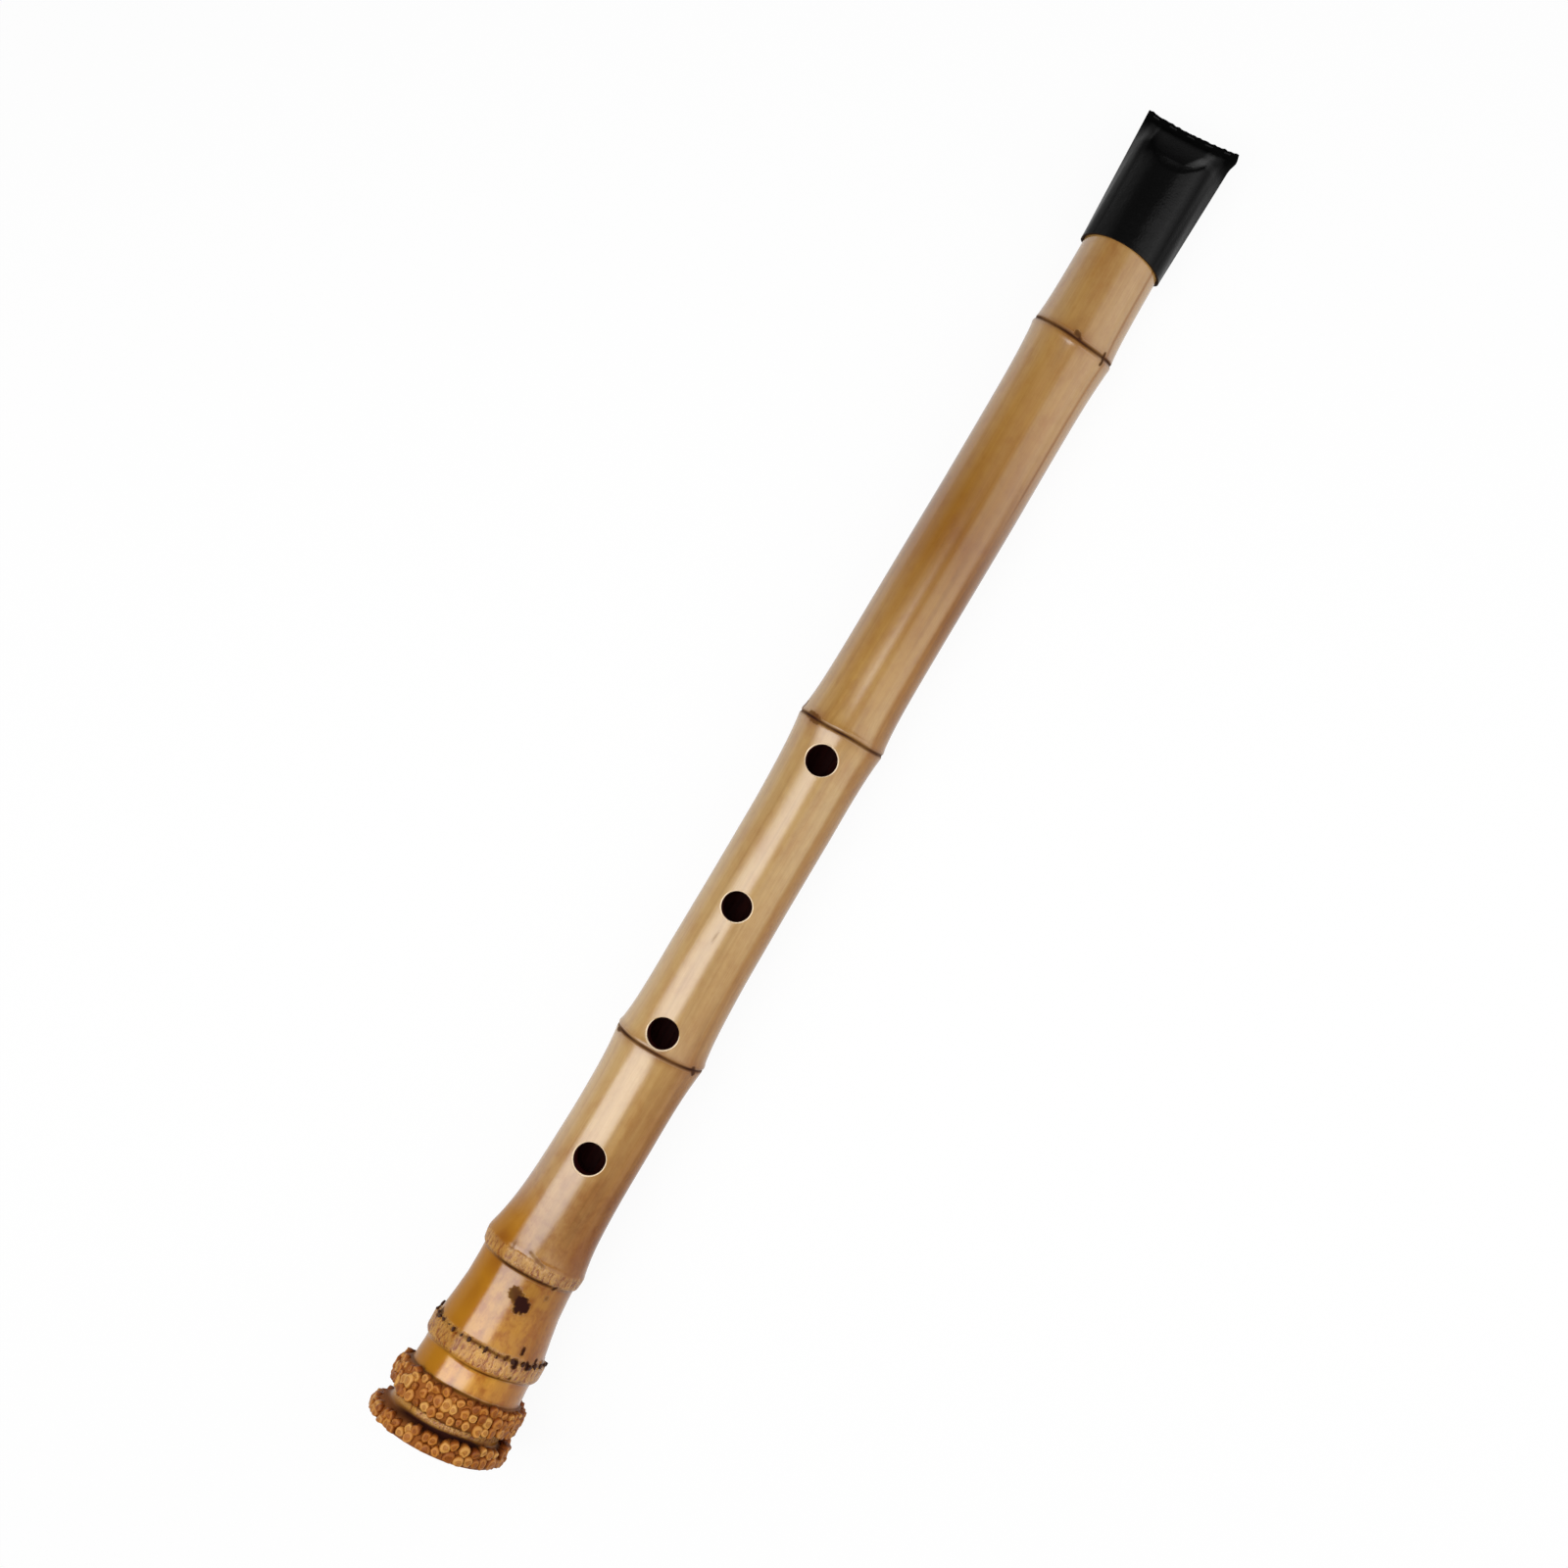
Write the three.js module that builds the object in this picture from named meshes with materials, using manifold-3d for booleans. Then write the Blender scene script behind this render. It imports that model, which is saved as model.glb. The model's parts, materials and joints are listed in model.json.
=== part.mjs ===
// Shakuhachi: an end-blown bamboo flute with its root end left on, a lacquered bore, a horn
// blowing edge and a leather cap over the mouth end. Lengths in millimetres, +Z up.
// Everything is drawn along +X from the root end at zero, with the finger holes up. At the
// end the whole part is leaned a little, so that the root and the cap rest on one level.

import * as THREE from 'three';
import { mergeVertices } from 'three/addons/utils/BufferGeometryUtils.js';
import Module from 'manifold-3d';

const wasm = await Module();
wasm.setup();

// Fits between the pieces
const fitGap = 0.3;
const weldDistance = 0.0001;
const smallestDetail = 0.07;

// Stalk: its stretches between the nodes, from the root end to the mouth, and its radius
const rootStretch = 76.7;
const lowerStretch = 88.5;
const middleStretch = 134.5;
const upperStretch = 166.7;
const mouthStretch = 78.6;
const mouthRadius = 15.55;
const upperStalkRadius = 15.8;
const middleStalkRadius = 15.8;
const lowerStalkRadius = 16.5;
const rootStalkRadius = 16.6;

// Nodes: crest radius, and how far the swelling reaches toward the mouth and the root
const firstNodeRadius = 16.9;
const firstNodeReachUp = 8;
const firstNodeReachDown = 10;
const secondNodeRadius = 17.45;
const secondNodeReachUp = 8.5;
const secondNodeReachDown = 11;
const thirdNodeRadius = 18;
const thirdNodeReachUp = 9.6;
const thirdNodeReachDown = 9;
const fourthNodeRadius = 20.3;
const fourthNodeReachUp = 12.8;
const crestRounding = 0.8;
const scarOffset = 0.3;
const scarDepth = 0.4;
const scarHalfWidth = 0.5;

// Root end: bands and rings, from the fourth node down to the sawn end
const fourthBandHeight = 4.3;
const fourthBandRadius = 19.9;
const waistPosition = 66.5;
const waistRadius = 18.75;
const flarePosition = 50.5;
const flareRadius = 20.15;
const fifthBandPosition = 39.7;
const fifthBandHalfHeight = 4.15;
const fifthBandRadius = 23.05;
const neckRadius = 21.2;
const stubRingPosition = 19.2;
const stubRingHalfHeight = 5.2;
const stubRingRadius = 24.9;
const grooveRadius = 21.4;
const footRingPosition = 3.2;
const footRingHalfHeight = 3.3;
const footRingRadius = 25.6;
const endFaceRadius = 24.8;
const bandEdgeRun = 0.9;

// Root stubs: rows of cut-off roots round the two rings, and beads on the fifth band
const upperStubOffset = 3.2;
const upperStubStandOut = 0.8;
const upperStubRadius = 2.1;
const lowerStubOffset = 1.9;
const lowerStubStandOut = 1.6;
const lowerStubRadius = 2.4;
const footStubOffset = 0.1;
const footStubStandOut = 1.95;
const footStubRadius = 2.75;
const beadOffset = 0.1;
const beadStandOut = 0.6;
const beadRadius = 0.95;
const stubDepth = 4.2;
const beadDepth = 1.8;
const upperStubCount = 24;
const lowerStubCount = 24;
const footStubCount = 24;
const beadCount = 18;

// Centre line: the stalk sways a little and the root end bends toward the finger holes
const swayWidth = 2;
const rootBendSlope = 0.0875;

// Bore: radius of the lacquered air way, its coat and where it is narrowest
const mouthBoreRadius = 10.1;
const middleBoreRadius = 9;
const throatBoreRadius = 7.7;
const throatPosition = 60;
const rootBoreRadius = 8.8;
const coatThickness = 0.9;
const cutOverrun = 6;

// Finger holes and the thumb hole behind
const firstHolePosition = 119.5;
const firstHoleRadius = 6.15;
const secondHolePosition = 172.4;
const secondHoleRadius = 6.05;
const thirdHolePosition = 225.7;
const thirdHoleRadius = 5.8;
const fourthHolePosition = 287.2;
const fourthHoleRadius = 6.05;
const thumbHolePosition = 319.3;
const thumbHoleRadius = 5.6;
const holeBevel = 0.45;

// Blowing edge: oblique cut at the front of the mouth, its horn inlay and the chin bevel
const edgeLand = 0.5;
const edgeCutSlope = 0.5774;
const inlayHeight = 8;
const inlayTopHalfWidth = 6;
const inlayBottomHalfWidth = 4.2;
const inlayDepth = 2.6;
const chinBevel = 2;

// Leather cap: two panels joined along the sides and across the top
const leatherThickness = 0.9;
const capCover = 41.9;
const capClosing = 10.3;
const capSeamWidth = 2.8;
const capTopHalfWidth = 18.6;
const capRimRise = 1.6;
const capTopHollow = 1.2;
const capRimSideSlope = 0.04;
const capTopSideSlope = -0.02;
const panelGap = 0.3;

// Seam thread: one running row of stitches across the top of the cap
const threadRadius = 0.32;
const threadClearance = 0.16;
const stitchCount = 9;
const stitchEdgeDistance = 1.3;
const stitchEndMargin = 1.8;

// How finely the round shapes are drawn
const stalkSides = 32;
const boreSides = 22;
const holeSides = 24;
const stubSides = 6;
const beadSides = 4;
const capSides = 32;
const threadSides = 5;
const threadSteps = 64;

// Places along the flute that follow from these lengths
const fourthNodePosition = rootStretch;
const thirdNodePosition = fourthNodePosition + lowerStretch;
const secondNodePosition = thirdNodePosition + middleStretch;
const firstNodePosition = secondNodePosition + upperStretch;
const fluteLength = firstNodePosition + mouthStretch;
const capRimPosition = fluteLength - capCover;
const capCloseStart = fluteLength + fitGap;
const capSeamPosition = capCloseStart + capClosing;
const capTopPosition = capSeamPosition + capSeamWidth;

function mix(from, to, share) {
  return from + (to - from) * share;
}

// Value at a place between the rows of a table; the rows run from low to high
function readRows(rows, place, column) {
  const last = rows.length - 1;
  if (place <= rows[0][0]) {
    return rows[0][column];
  }
  for (let row = 1; row <= last; row += 1) {
    if (place <= rows[row][0]) {
      const span = rows[row][0] - rows[row - 1][0];
      const share = (place - rows[row - 1][0]) / span;
      return mix(rows[row - 1][column], rows[row][column], share);
    }
  }
  return rows[last][column];
}

// Sideways sway of the centre line: share of the length, then share of the sway width
const swayShares = [
  [0, -0.05],
  [0.07, 0.05],
  [0.144, 0.76],
  [0.18, 0.4],
  [0.24, 0],
  [0.295, -0.12],
  [0.37, 0.05],
  [0.485, -0.24],
  [0.555, -0.06],
  [0.64, -0.33],
  [0.73, -0.69],
  [0.85, -0.88],
  [1, -0.9],
];

function sidewaysAt(place) {
  return swayWidth * readRows(swayShares, place / fluteLength, 1);
}

function bendLiftAt(place) {
  const below = Math.max(fourthNodePosition - place, 0);
  return rootBendSlope * below * below / (2 * fourthNodePosition);
}

// How the rings lean: slope toward the front, then slope toward the side
const leanRows = [
  [0, 0.042, -0.07],
  [footRingPosition, 0.04, -0.09],
  [stubRingPosition, 0.03, -0.07],
  [fifthBandPosition, 0, -0.04],
  [fourthNodePosition, 0.025, 0],
  [thirdNodePosition, -0.015, 0],
  [secondNodePosition, -0.045, 0],
  [firstNodePosition, -0.045, 0.076],
  [capRimPosition, 0, 0],
];

// A point on the stalk: place along the length, angle from the side over the front, radius
function stalkPoint(place, angle, radius) {
  const side = radius * Math.cos(angle);
  const front = radius * Math.sin(angle);
  const frontLean = readRows(leanRows, place, 1) * front;
  const sideLean = readRows(leanRows, place, 2) * side;
  return new THREE.Vector3(
    place + frontLean + sideLean,
    sidewaysAt(place) + side,
    bendLiftAt(place) + front,
  );
}

// Closed solid from rings of points; the rings run along +X and turn from +Y over +Z
function solidFromRings(rings) {
  const sides = rings[0].length;
  const last = rings.length - 1;
  const positions = [];
  const faces = [];
  for (const ring of rings) {
    for (const point of ring) {
      positions.push(point.x, point.y, point.z);
    }
  }
  for (let ring = 0; ring < last; ring += 1) {
    for (let side = 0; side < sides; side += 1) {
      const next = (side + 1) % sides;
      const here = ring * sides;
      const ahead = here + sides;
      faces.push(here + side, here + next, ahead + next);
      faces.push(here + side, ahead + next, ahead + side);
    }
  }
  const startCentre = positions.length / 3;
  for (const ring of [rings[0], rings[last]]) {
    const centre = new THREE.Vector3();
    for (const point of ring) {
      centre.add(point);
    }
    centre.divideScalar(sides);
    positions.push(centre.x, centre.y, centre.z);
  }
  for (let side = 0; side < sides; side += 1) {
    const next = (side + 1) % sides;
    faces.push(startCentre, next, side);
    faces.push(startCentre + 1, last * sides + side, last * sides + next);
  }
  const geometry = new THREE.BufferGeometry();
  geometry.setAttribute('position', new THREE.Float32BufferAttribute(positions, 3));
  geometry.setIndex(faces);
  return geometry;
}

function toManifold(geometry) {
  const bare = geometry.clone();
  bare.deleteAttribute('normal');
  bare.deleteAttribute('uv');
  const welded = mergeVertices(bare, weldDistance);
  return new wasm.Manifold(new wasm.Mesh({
    numProp: 3,
    vertProperties: new Float32Array(welded.attributes.position.array),
    triVerts: new Uint32Array(welded.index.array),
  }));
}

function toGeometry(solid) {
  const result = solid.simplify(smallestDetail).getMesh();
  const geometry = new THREE.BufferGeometry();
  const positions = new Float32Array(result.vertProperties);
  geometry.setAttribute('position', new THREE.BufferAttribute(positions, 3));
  geometry.setIndex(Array.from(result.triVerts));
  return geometry;
}

function uniteAll(solids) {
  let whole = solids[0];
  for (const solid of solids.slice(1)) {
    whole = whole.add(solid);
  }
  return whole;
}

// Stalk radius between the nodes, without their swellings
const stalkRows = [
  [fourthNodePosition, rootStalkRadius],
  [mix(fourthNodePosition, thirdNodePosition, 0.5), lowerStalkRadius],
  [mix(thirdNodePosition, secondNodePosition, 0.5), middleStalkRadius],
  [mix(secondNodePosition, firstNodePosition, 0.5), upperStalkRadius],
  [mix(firstNodePosition, fluteLength, 0.5), mouthRadius],
];

const nodes = [
  {
    position: firstNodePosition,
    radius: firstNodeRadius,
    reachUp: firstNodeReachUp,
    reachDown: firstNodeReachDown,
  },
  {
    position: secondNodePosition,
    radius: secondNodeRadius,
    reachUp: secondNodeReachUp,
    reachDown: secondNodeReachDown,
  },
  {
    position: thirdNodePosition,
    radius: thirdNodeRadius,
    reachUp: thirdNodeReachUp,
    reachDown: thirdNodeReachDown,
  },
  {
    position: fourthNodePosition,
    radius: fourthNodeRadius,
    reachUp: fourthNodeReachUp,
    reachDown: fourthNodeReachUp,
  },
];

// A node swells to a rounded crest that dies away on both sides
function swellingAt(node, place) {
  const distance = place - node.position;
  const reach = distance > 0 ? node.reachUp : node.reachDown;
  const rounded = Math.hypot(distance, crestRounding) - crestRounding;
  const crest = node.radius - readRows(stalkRows, node.position, 1);
  return crest * Math.exp(-rounded / reach);
}

function stalkRadiusAt(place) {
  let radius = readRows(stalkRows, place, 1);
  for (const node of nodes) {
    radius += swellingAt(node, place);
    const fromScar = Math.abs(place - node.position + scarOffset);
    radius -= scarDepth * Math.max(1 - fromScar / scarHalfWidth, 0);
  }
  return radius;
}

// A raised band or ring of the root end: foot, shoulder, shoulder, foot
function bandRows(position, halfHeight, radius, footBelow, footAbove) {
  return [
    [position - halfHeight - bandEdgeRun, footBelow],
    [position - halfHeight, radius - bandEdgeRun],
    [position - halfHeight + bandEdgeRun, radius],
    [position + halfHeight - bandEdgeRun, radius],
    [position + halfHeight, radius - bandEdgeRun],
    [position + halfHeight + bandEdgeRun, footAbove],
  ];
}

// Outline of the root end below the fourth node, from the sawn end upward
const flareFootRadius = mix(flareRadius, fifthBandRadius, 0.35);
const rootRows = [
  [0, endFaceRadius],
  ...bandRows(footRingPosition, footRingHalfHeight, footRingRadius, endFaceRadius, grooveRadius)
    .slice(3),
  ...bandRows(stubRingPosition, stubRingHalfHeight, stubRingRadius, grooveRadius, neckRadius)
    .filter((row, number) => number % 3 !== 2),
  [mix(stubRingPosition, fifthBandPosition, 0.55), neckRadius],
  ...bandRows(
    fifthBandPosition, fifthBandHalfHeight, fifthBandRadius, neckRadius, flareFootRadius,
  ),
  [flarePosition, flareRadius],
  [mix(flarePosition, waistPosition, 0.5), mix(flareRadius, waistRadius, 0.75)],
  [waistPosition, waistRadius],
  [fourthNodePosition - fourthBandHeight - bandEdgeRun, waistRadius],
  [fourthNodePosition - fourthBandHeight, fourthBandRadius],
  [fourthNodePosition - crestRounding, fourthNodeRadius],
];

// Where rings of points are set round each node, as shares of its reach
const nodeRingShares = [0.22, 0.75, 1.5, 2.6];

function stalkPlaces() {
  const places = rootRows.map((row) => row[0]);
  places.push(fourthNodePosition + crestRounding);
  for (const share of nodeRingShares) {
    places.push(fourthNodePosition + share * fourthNodeReachUp);
  }
  for (const node of nodes.slice(0, 3)) {
    const scar = node.position - scarOffset;
    places.push(node.position, scar - scarHalfWidth, scar, scar + scarHalfWidth);
    for (const share of nodeRingShares) {
      places.push(node.position + share * node.reachUp);
      places.push(node.position - scarOffset - scarHalfWidth - share * node.reachDown);
    }
  }
  for (const pair of [[0, 1], [1, 2], [2, 3]]) {
    const high = nodes[pair[0]].position;
    const low = nodes[pair[1]].position;
    places.push(mix(low, high, 0.4), mix(low, high, 0.6));
  }
  places.push(capRimPosition, fluteLength);
  return places.sort((low, high) => low - high);
}

function makeStalkSolid() {
  const rings = [];
  for (const place of stalkPlaces()) {
    const inRoot = place < fourthNodePosition;
    const radius = inRoot ? readRows(rootRows, place, 1) : stalkRadiusAt(place);
    const ring = [];
    for (let side = 0; side < stalkSides; side += 1) {
      ring.push(stalkPoint(place, 2 * Math.PI * side / stalkSides, radius));
    }
    rings.push(ring);
  }
  return toManifold(solidFromRings(rings));
}

// One cut-off root: a short round peg with a domed end, a little longer along the flute
function stubSolid(place, angle, row) {
  const shoulder = -0.35 * row.radius;
  const profile = [
    new THREE.Vector2(0, -row.depth),
    new THREE.Vector2(row.radius, -row.depth),
    new THREE.Vector2(row.radius, shoulder),
    new THREE.Vector2(0.66 * row.radius, 0),
    new THREE.Vector2(0, 0),
  ];
  const peg = new THREE.LatheGeometry(profile, row.sides);
  const tip = stalkPoint(place, angle, row.tipRadius);
  const outward = new THREE.Vector3(-row.droopShare, Math.cos(angle), Math.sin(angle));
  outward.normalize();
  const along = new THREE.Vector3(1, 0, 0);
  const across = new THREE.Vector3().crossVectors(outward, along).normalize();
  along.crossVectors(across, outward);
  const turn = new THREE.Matrix4().makeBasis(across, outward, along);
  peg.scale(row.widthShare, 1, row.heightShare);
  peg.applyMatrix4(turn);
  peg.translate(tip.x, tip.y, tip.z);
  return toManifold(peg);
}

const stubRowsOfRoot = [
  {
    position: footRingPosition - footStubOffset,
    tipRadius: footRingRadius + footStubStandOut,
    radius: footStubRadius,
    count: footStubCount,
    depth: stubDepth,
    sides: stubSides,
    widthShare: 0.96,
    heightShare: 1.3,
    droopShare: 0.12,
    startShare: 0.25,
  },
  {
    position: stubRingPosition - lowerStubOffset,
    tipRadius: stubRingRadius + lowerStubStandOut,
    radius: lowerStubRadius,
    count: lowerStubCount,
    depth: stubDepth,
    sides: stubSides,
    widthShare: 0.94,
    heightShare: 1.45,
    droopShare: 0.1,
    startShare: 0.5,
  },
  {
    position: stubRingPosition + upperStubOffset,
    tipRadius: stubRingRadius + upperStubStandOut,
    radius: upperStubRadius,
    count: upperStubCount,
    depth: stubDepth,
    sides: stubSides,
    widthShare: 1,
    heightShare: 1,
    droopShare: 0,
    startShare: 0.1,
  },
  {
    position: fifthBandPosition + fifthBandHalfHeight - beadOffset,
    tipRadius: fifthBandRadius + beadStandOut,
    radius: beadRadius,
    count: beadCount,
    depth: beadDepth,
    sides: beadSides,
    widthShare: 1.2,
    heightShare: 0.9,
    droopShare: 0,
    startShare: 0.3,
  },
];

// Rows of stubs stand unevenly, each one a little up or down and in or out of its row
function makeStubs() {
  const stubs = [];
  for (const row of stubRowsOfRoot) {
    for (let stub = 0; stub < row.count; stub += 1) {
      const uneven = Math.sin(2.4 * stub + row.startShare);
      const rough = Math.cos(3.7 * stub + row.startShare);
      const angle = 2 * Math.PI * (stub + row.startShare + 0.12 * rough) / row.count;
      const place = row.position + 0.18 * row.radius * uneven;
      const tipRadius = row.tipRadius - 0.12 * row.radius * (1 + rough);
      stubs.push(stubSolid(place, angle, { ...row, tipRadius }));
    }
  }
  return uniteAll(stubs);
}

// Everything beyond the sawn end of the root, to trim the stubs flat with it
function makeEndTrim() {
  const rings = [-2 * cutOverrun, 0].map((place) => {
    const ring = [];
    for (let side = 0; side < holeSides; side += 1) {
      const angle = 2 * Math.PI * side / holeSides;
      const point = stalkPoint(0, angle, 2 * footRingRadius);
      point.x += place;
      ring.push(point);
    }
    return ring;
  });
  return toManifold(solidFromRings(rings));
}

// Bore radius of the air way
const boreRows = [
  [0, rootBoreRadius],
  [throatPosition, throatBoreRadius],
  [secondNodePosition, middleBoreRadius],
  [fluteLength, mouthBoreRadius],
];

// Bore shape made wider by a given amount, running out past both ends; it follows the sway
// of the stalk more smoothly, at every second place of the table
function makeBoreSolid(wider) {
  const swayPlaces = swayShares.map((row) => row[0] * fluteLength);
  const places = swayPlaces.filter((place, number) => number % 2 === 0);
  places.push(-cutOverrun, 0.5 * throatPosition, throatPosition, fluteLength + cutOverrun);
  places.sort((low, high) => low - high);
  const rings = places.map((place) => {
    const radius = readRows(boreRows, place, 1) + wider;
    const ring = [];
    for (let side = 0; side < boreSides; side += 1) {
      const angle = 2 * Math.PI * side / boreSides;
      ring.push(new THREE.Vector3(
        place,
        sidewaysAt(place) + radius * Math.cos(angle),
        bendLiftAt(place) + radius * Math.sin(angle),
      ));
    }
    return ring;
  });
  return toManifold(solidFromRings(rings));
}

const fingerHoles = [
  { position: firstHolePosition, radius: firstHoleRadius, front: true },
  { position: secondHolePosition, radius: secondHoleRadius, front: true },
  { position: thirdHolePosition, radius: thirdHoleRadius, front: true },
  { position: fourthHolePosition, radius: fourthHoleRadius, front: true },
  { position: thumbHolePosition, radius: thumbHoleRadius, front: false },
];

// A hole tool: straight from the middle of the bore outward, flared at the outer face
function holeTool(hole) {
  const face = stalkRadiusAt(hole.position);
  const profile = [
    new THREE.Vector2(0, 0),
    new THREE.Vector2(hole.radius, 0),
    new THREE.Vector2(hole.radius, face - holeBevel),
    new THREE.Vector2(hole.radius + holeBevel, face),
    new THREE.Vector2(hole.radius + cutOverrun, face + cutOverrun),
    new THREE.Vector2(0, face + cutOverrun),
  ];
  const tool = new THREE.LatheGeometry(profile, holeSides);
  tool.rotateX(hole.front ? Math.PI / 2 : -Math.PI / 2);
  tool.translate(hole.position, sidewaysAt(hole.position), 0);
  return toManifold(tool);
}

function makeHoleTools() {
  return uniteAll(fingerHoles.map(holeTool));
}

// Frame of the blowing edge: first along the cut toward the root, then out of its face
const edgeTurn = Math.atan(edgeCutSlope);
const edgeHeight = mouthBoreRadius + edgeLand;

function placeOnEdge(geometry) {
  geometry.rotateY(edgeTurn);
  geometry.translate(fluteLength, sidewaysAt(fluteLength), edgeHeight);
  return toManifold(geometry);
}

// Oblique cut at the front of the mouth
function makeEdgeCut() {
  const size = 4 * mouthRadius;
  const block = new THREE.BoxGeometry(size, size, size);
  block.translate(0, 0, size / 2);
  return placeOnEdge(block);
}

// The rear lip of the mouth is bevelled for the chin
function makeChinCut() {
  const size = 2 * mouthRadius;
  const block = new THREE.BoxGeometry(size, size, size);
  block.translate(0, 0, -size / 2);
  block.rotateY(-Math.PI / 4);
  block.translate(fluteLength, sidewaysAt(fluteLength), chinBevel - mouthRadius);
  return toManifold(block);
}

// Wedge of horn let into the oblique cut, or its pocket when grown by a clearance
function inlayBlock(grow, above) {
  const flare = (inlayTopHalfWidth - inlayBottomHalfWidth) / inlayHeight;
  const wide = inlayTopHalfWidth + flare * cutOverrun + grow;
  const narrow = inlayBottomHalfWidth - flare * grow + grow;
  const top = new THREE.Shape();
  top.moveTo(-inlayHeight - grow, -narrow);
  top.lineTo(cutOverrun, -wide);
  top.lineTo(cutOverrun, wide);
  top.lineTo(-inlayHeight - grow, narrow);
  top.closePath();
  const depth = inlayDepth + grow + above;
  const block = new THREE.ExtrudeGeometry(top, { depth, bevelEnabled: false });
  block.translate(0, 0, -inlayDepth - grow);
  return placeOnEdge(block);
}

const stalk = makeStalkSolid();
const endTrim = makeEndTrim();
const airWay = makeBoreSolid(0);
const holeTools = makeHoleTools();
const mouthCuts = makeEdgeCut().add(makeChinCut());
const cutStalk = stalk.add(makeStubs().subtract(endTrim)).subtract(mouthCuts);

function bambooCulm() {
  const boreInBamboo = makeBoreSolid(coatThickness + fitGap);
  const pocket = inlayBlock(fitGap, cutOverrun);
  return cutStalk.subtract(boreInBamboo).subtract(holeTools).subtract(pocket);
}

function boreCoat() {
  const coat = makeBoreSolid(coatThickness).subtract(airWay);
  const pocket = inlayBlock(fitGap, cutOverrun);
  return coat.intersect(cutStalk).subtract(holeTools).subtract(pocket);
}

function blowingEdgeInlay() {
  return inlayBlock(0, 0).intersect(cutStalk).subtract(airWay);
}

// Half-widths and half-heights of the cap along its length, outside of the leather
const capRadius = mouthRadius + fitGap + leatherThickness;
const seamHalfHeight = leatherThickness + panelGap / 2;

function capHalfWidthAt(place) {
  const share = (place - capRimPosition) / (capTopPosition - capRimPosition);
  return mix(capRadius, capTopHalfWidth, share);
}

function closedShareAt(place) {
  const share = (place - capCloseStart) / (capSeamPosition - capCloseStart);
  return Math.min(Math.max(share, 0), 1);
}

// Height of the leather over a point across the cap: a round with flat ears at both sides,
// which goes over to two flat plies toward the seam
function capHeight(radius, halfWidth, across, closed, pliesHeight) {
  const touch = radius * radius / halfWidth;
  const distance = Math.abs(across);
  const earSlope = radius / Math.sqrt(Math.max(halfWidth * halfWidth - radius * radius, 0.0001));
  const round = Math.sqrt(Math.max(radius * radius - distance * distance, 0));
  const ear = (halfWidth - distance) * earSlope;
  const open = distance < touch ? round : ear;
  const flat = pliesHeight * Math.pow(Math.max(1 - Math.pow(distance / halfWidth, 8), 0), 0.125);
  const sink = Math.pow(closed, 1.4);
  return mix(open, flat, sink);
}

// One ring of the cap, its edges slanting and hollowed as the leather does
function capRing(place, inset, pliesHeight) {
  const scale = (capRadius - inset) / capRadius;
  const halfWidth = capHalfWidthAt(place) * scale;
  const closed = closedShareAt(place);
  const share = (place - capRimPosition) / (capTopPosition - capRimPosition);
  const slope = mix(capRimSideSlope, capTopSideSlope, share);
  const ring = [];
  for (let side = 0; side < capSides; side += 1) {
    const angle = 2 * Math.PI * side / capSides;
    const across = halfWidth * Math.cos(angle);
    const height = capHeight(capRadius - inset, halfWidth, across, closed, pliesHeight);
    const rise = capRimRise * (1 - share) * (1 - share) * Math.abs(Math.sin(angle));
    const hollow = capTopHollow * share * share * Math.pow(Math.sin(angle), 2);
    ring.push(new THREE.Vector3(
      place + slope * across + rise - hollow,
      sidewaysAt(fluteLength) + across,
      Math.sign(Math.sin(angle)) * Math.abs(height),
    ));
  }
  ring[0].z = 0;
  ring[capSides / 2].z = 0;
  return ring;
}

const capPlaceShares = [0, 0.3, 0.65, 1];
const capCloseShares = [0.2, 0.45, 0.7, 0.88, 1];

function makeCapOuter() {
  const rings = [];
  for (const share of capPlaceShares) {
    rings.push(capRing(mix(capRimPosition, capCloseStart, share), 0, seamHalfHeight));
  }
  for (const share of capCloseShares) {
    rings.push(capRing(mix(capCloseStart, capSeamPosition, share), 0, seamHalfHeight));
  }
  rings.push(capRing(capTopPosition, 0, seamHalfHeight));
  return toManifold(solidFromRings(rings));
}

function makeCapInner() {
  const rings = [];
  const start = capRing(capRimPosition, leatherThickness, panelGap / 2);
  for (const point of start) {
    point.x -= cutOverrun;
  }
  rings.push(start);
  for (const share of capPlaceShares) {
    const place = mix(capRimPosition, capCloseStart, share);
    rings.push(capRing(place, leatherThickness, panelGap / 2));
  }
  for (const share of capCloseShares) {
    const place = mix(capCloseStart, capSeamPosition, share);
    rings.push(capRing(place, leatherThickness, panelGap / 2));
  }
  return toManifold(solidFromRings(rings));
}

// Half space above or below the meeting plane of the two panels
function panelSpace(front) {
  const size = 4 * capTopPosition;
  const block = new THREE.BoxGeometry(size, size, size);
  const shift = size / 2 + panelGap / 2;
  block.translate(0, 0, front ? shift : -shift);
  return toManifold(block);
}

// The thread runs over and under the two plies, through a hole at every crossing
function stitchPath() {
  const lift = seamHalfHeight + 0.4 * threadRadius;
  const span = 2 * (capTopHalfWidth - stitchEndMargin);
  const pitch = span / stitchCount;
  const points = [];
  for (let stitch = 0; stitch < stitchCount; stitch += 1) {
    const side = stitch % 2 === 0 ? 1 : -1;
    for (const share of [0.22, 0.5, 0.78]) {
      const across = (stitch + share) * pitch - span / 2;
      const rise = Math.pow(across / capTopHalfWidth, 2) * capTopHollow;
      const place = capTopPosition - stitchEdgeDistance - capTopHollow + rise;
      points.push(new THREE.Vector3(
        place + capTopSideSlope * across,
        sidewaysAt(fluteLength) + across,
        side * lift,
      ));
    }
  }
  return new THREE.CatmullRomCurve3(points, false, 'centripetal');
}

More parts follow.
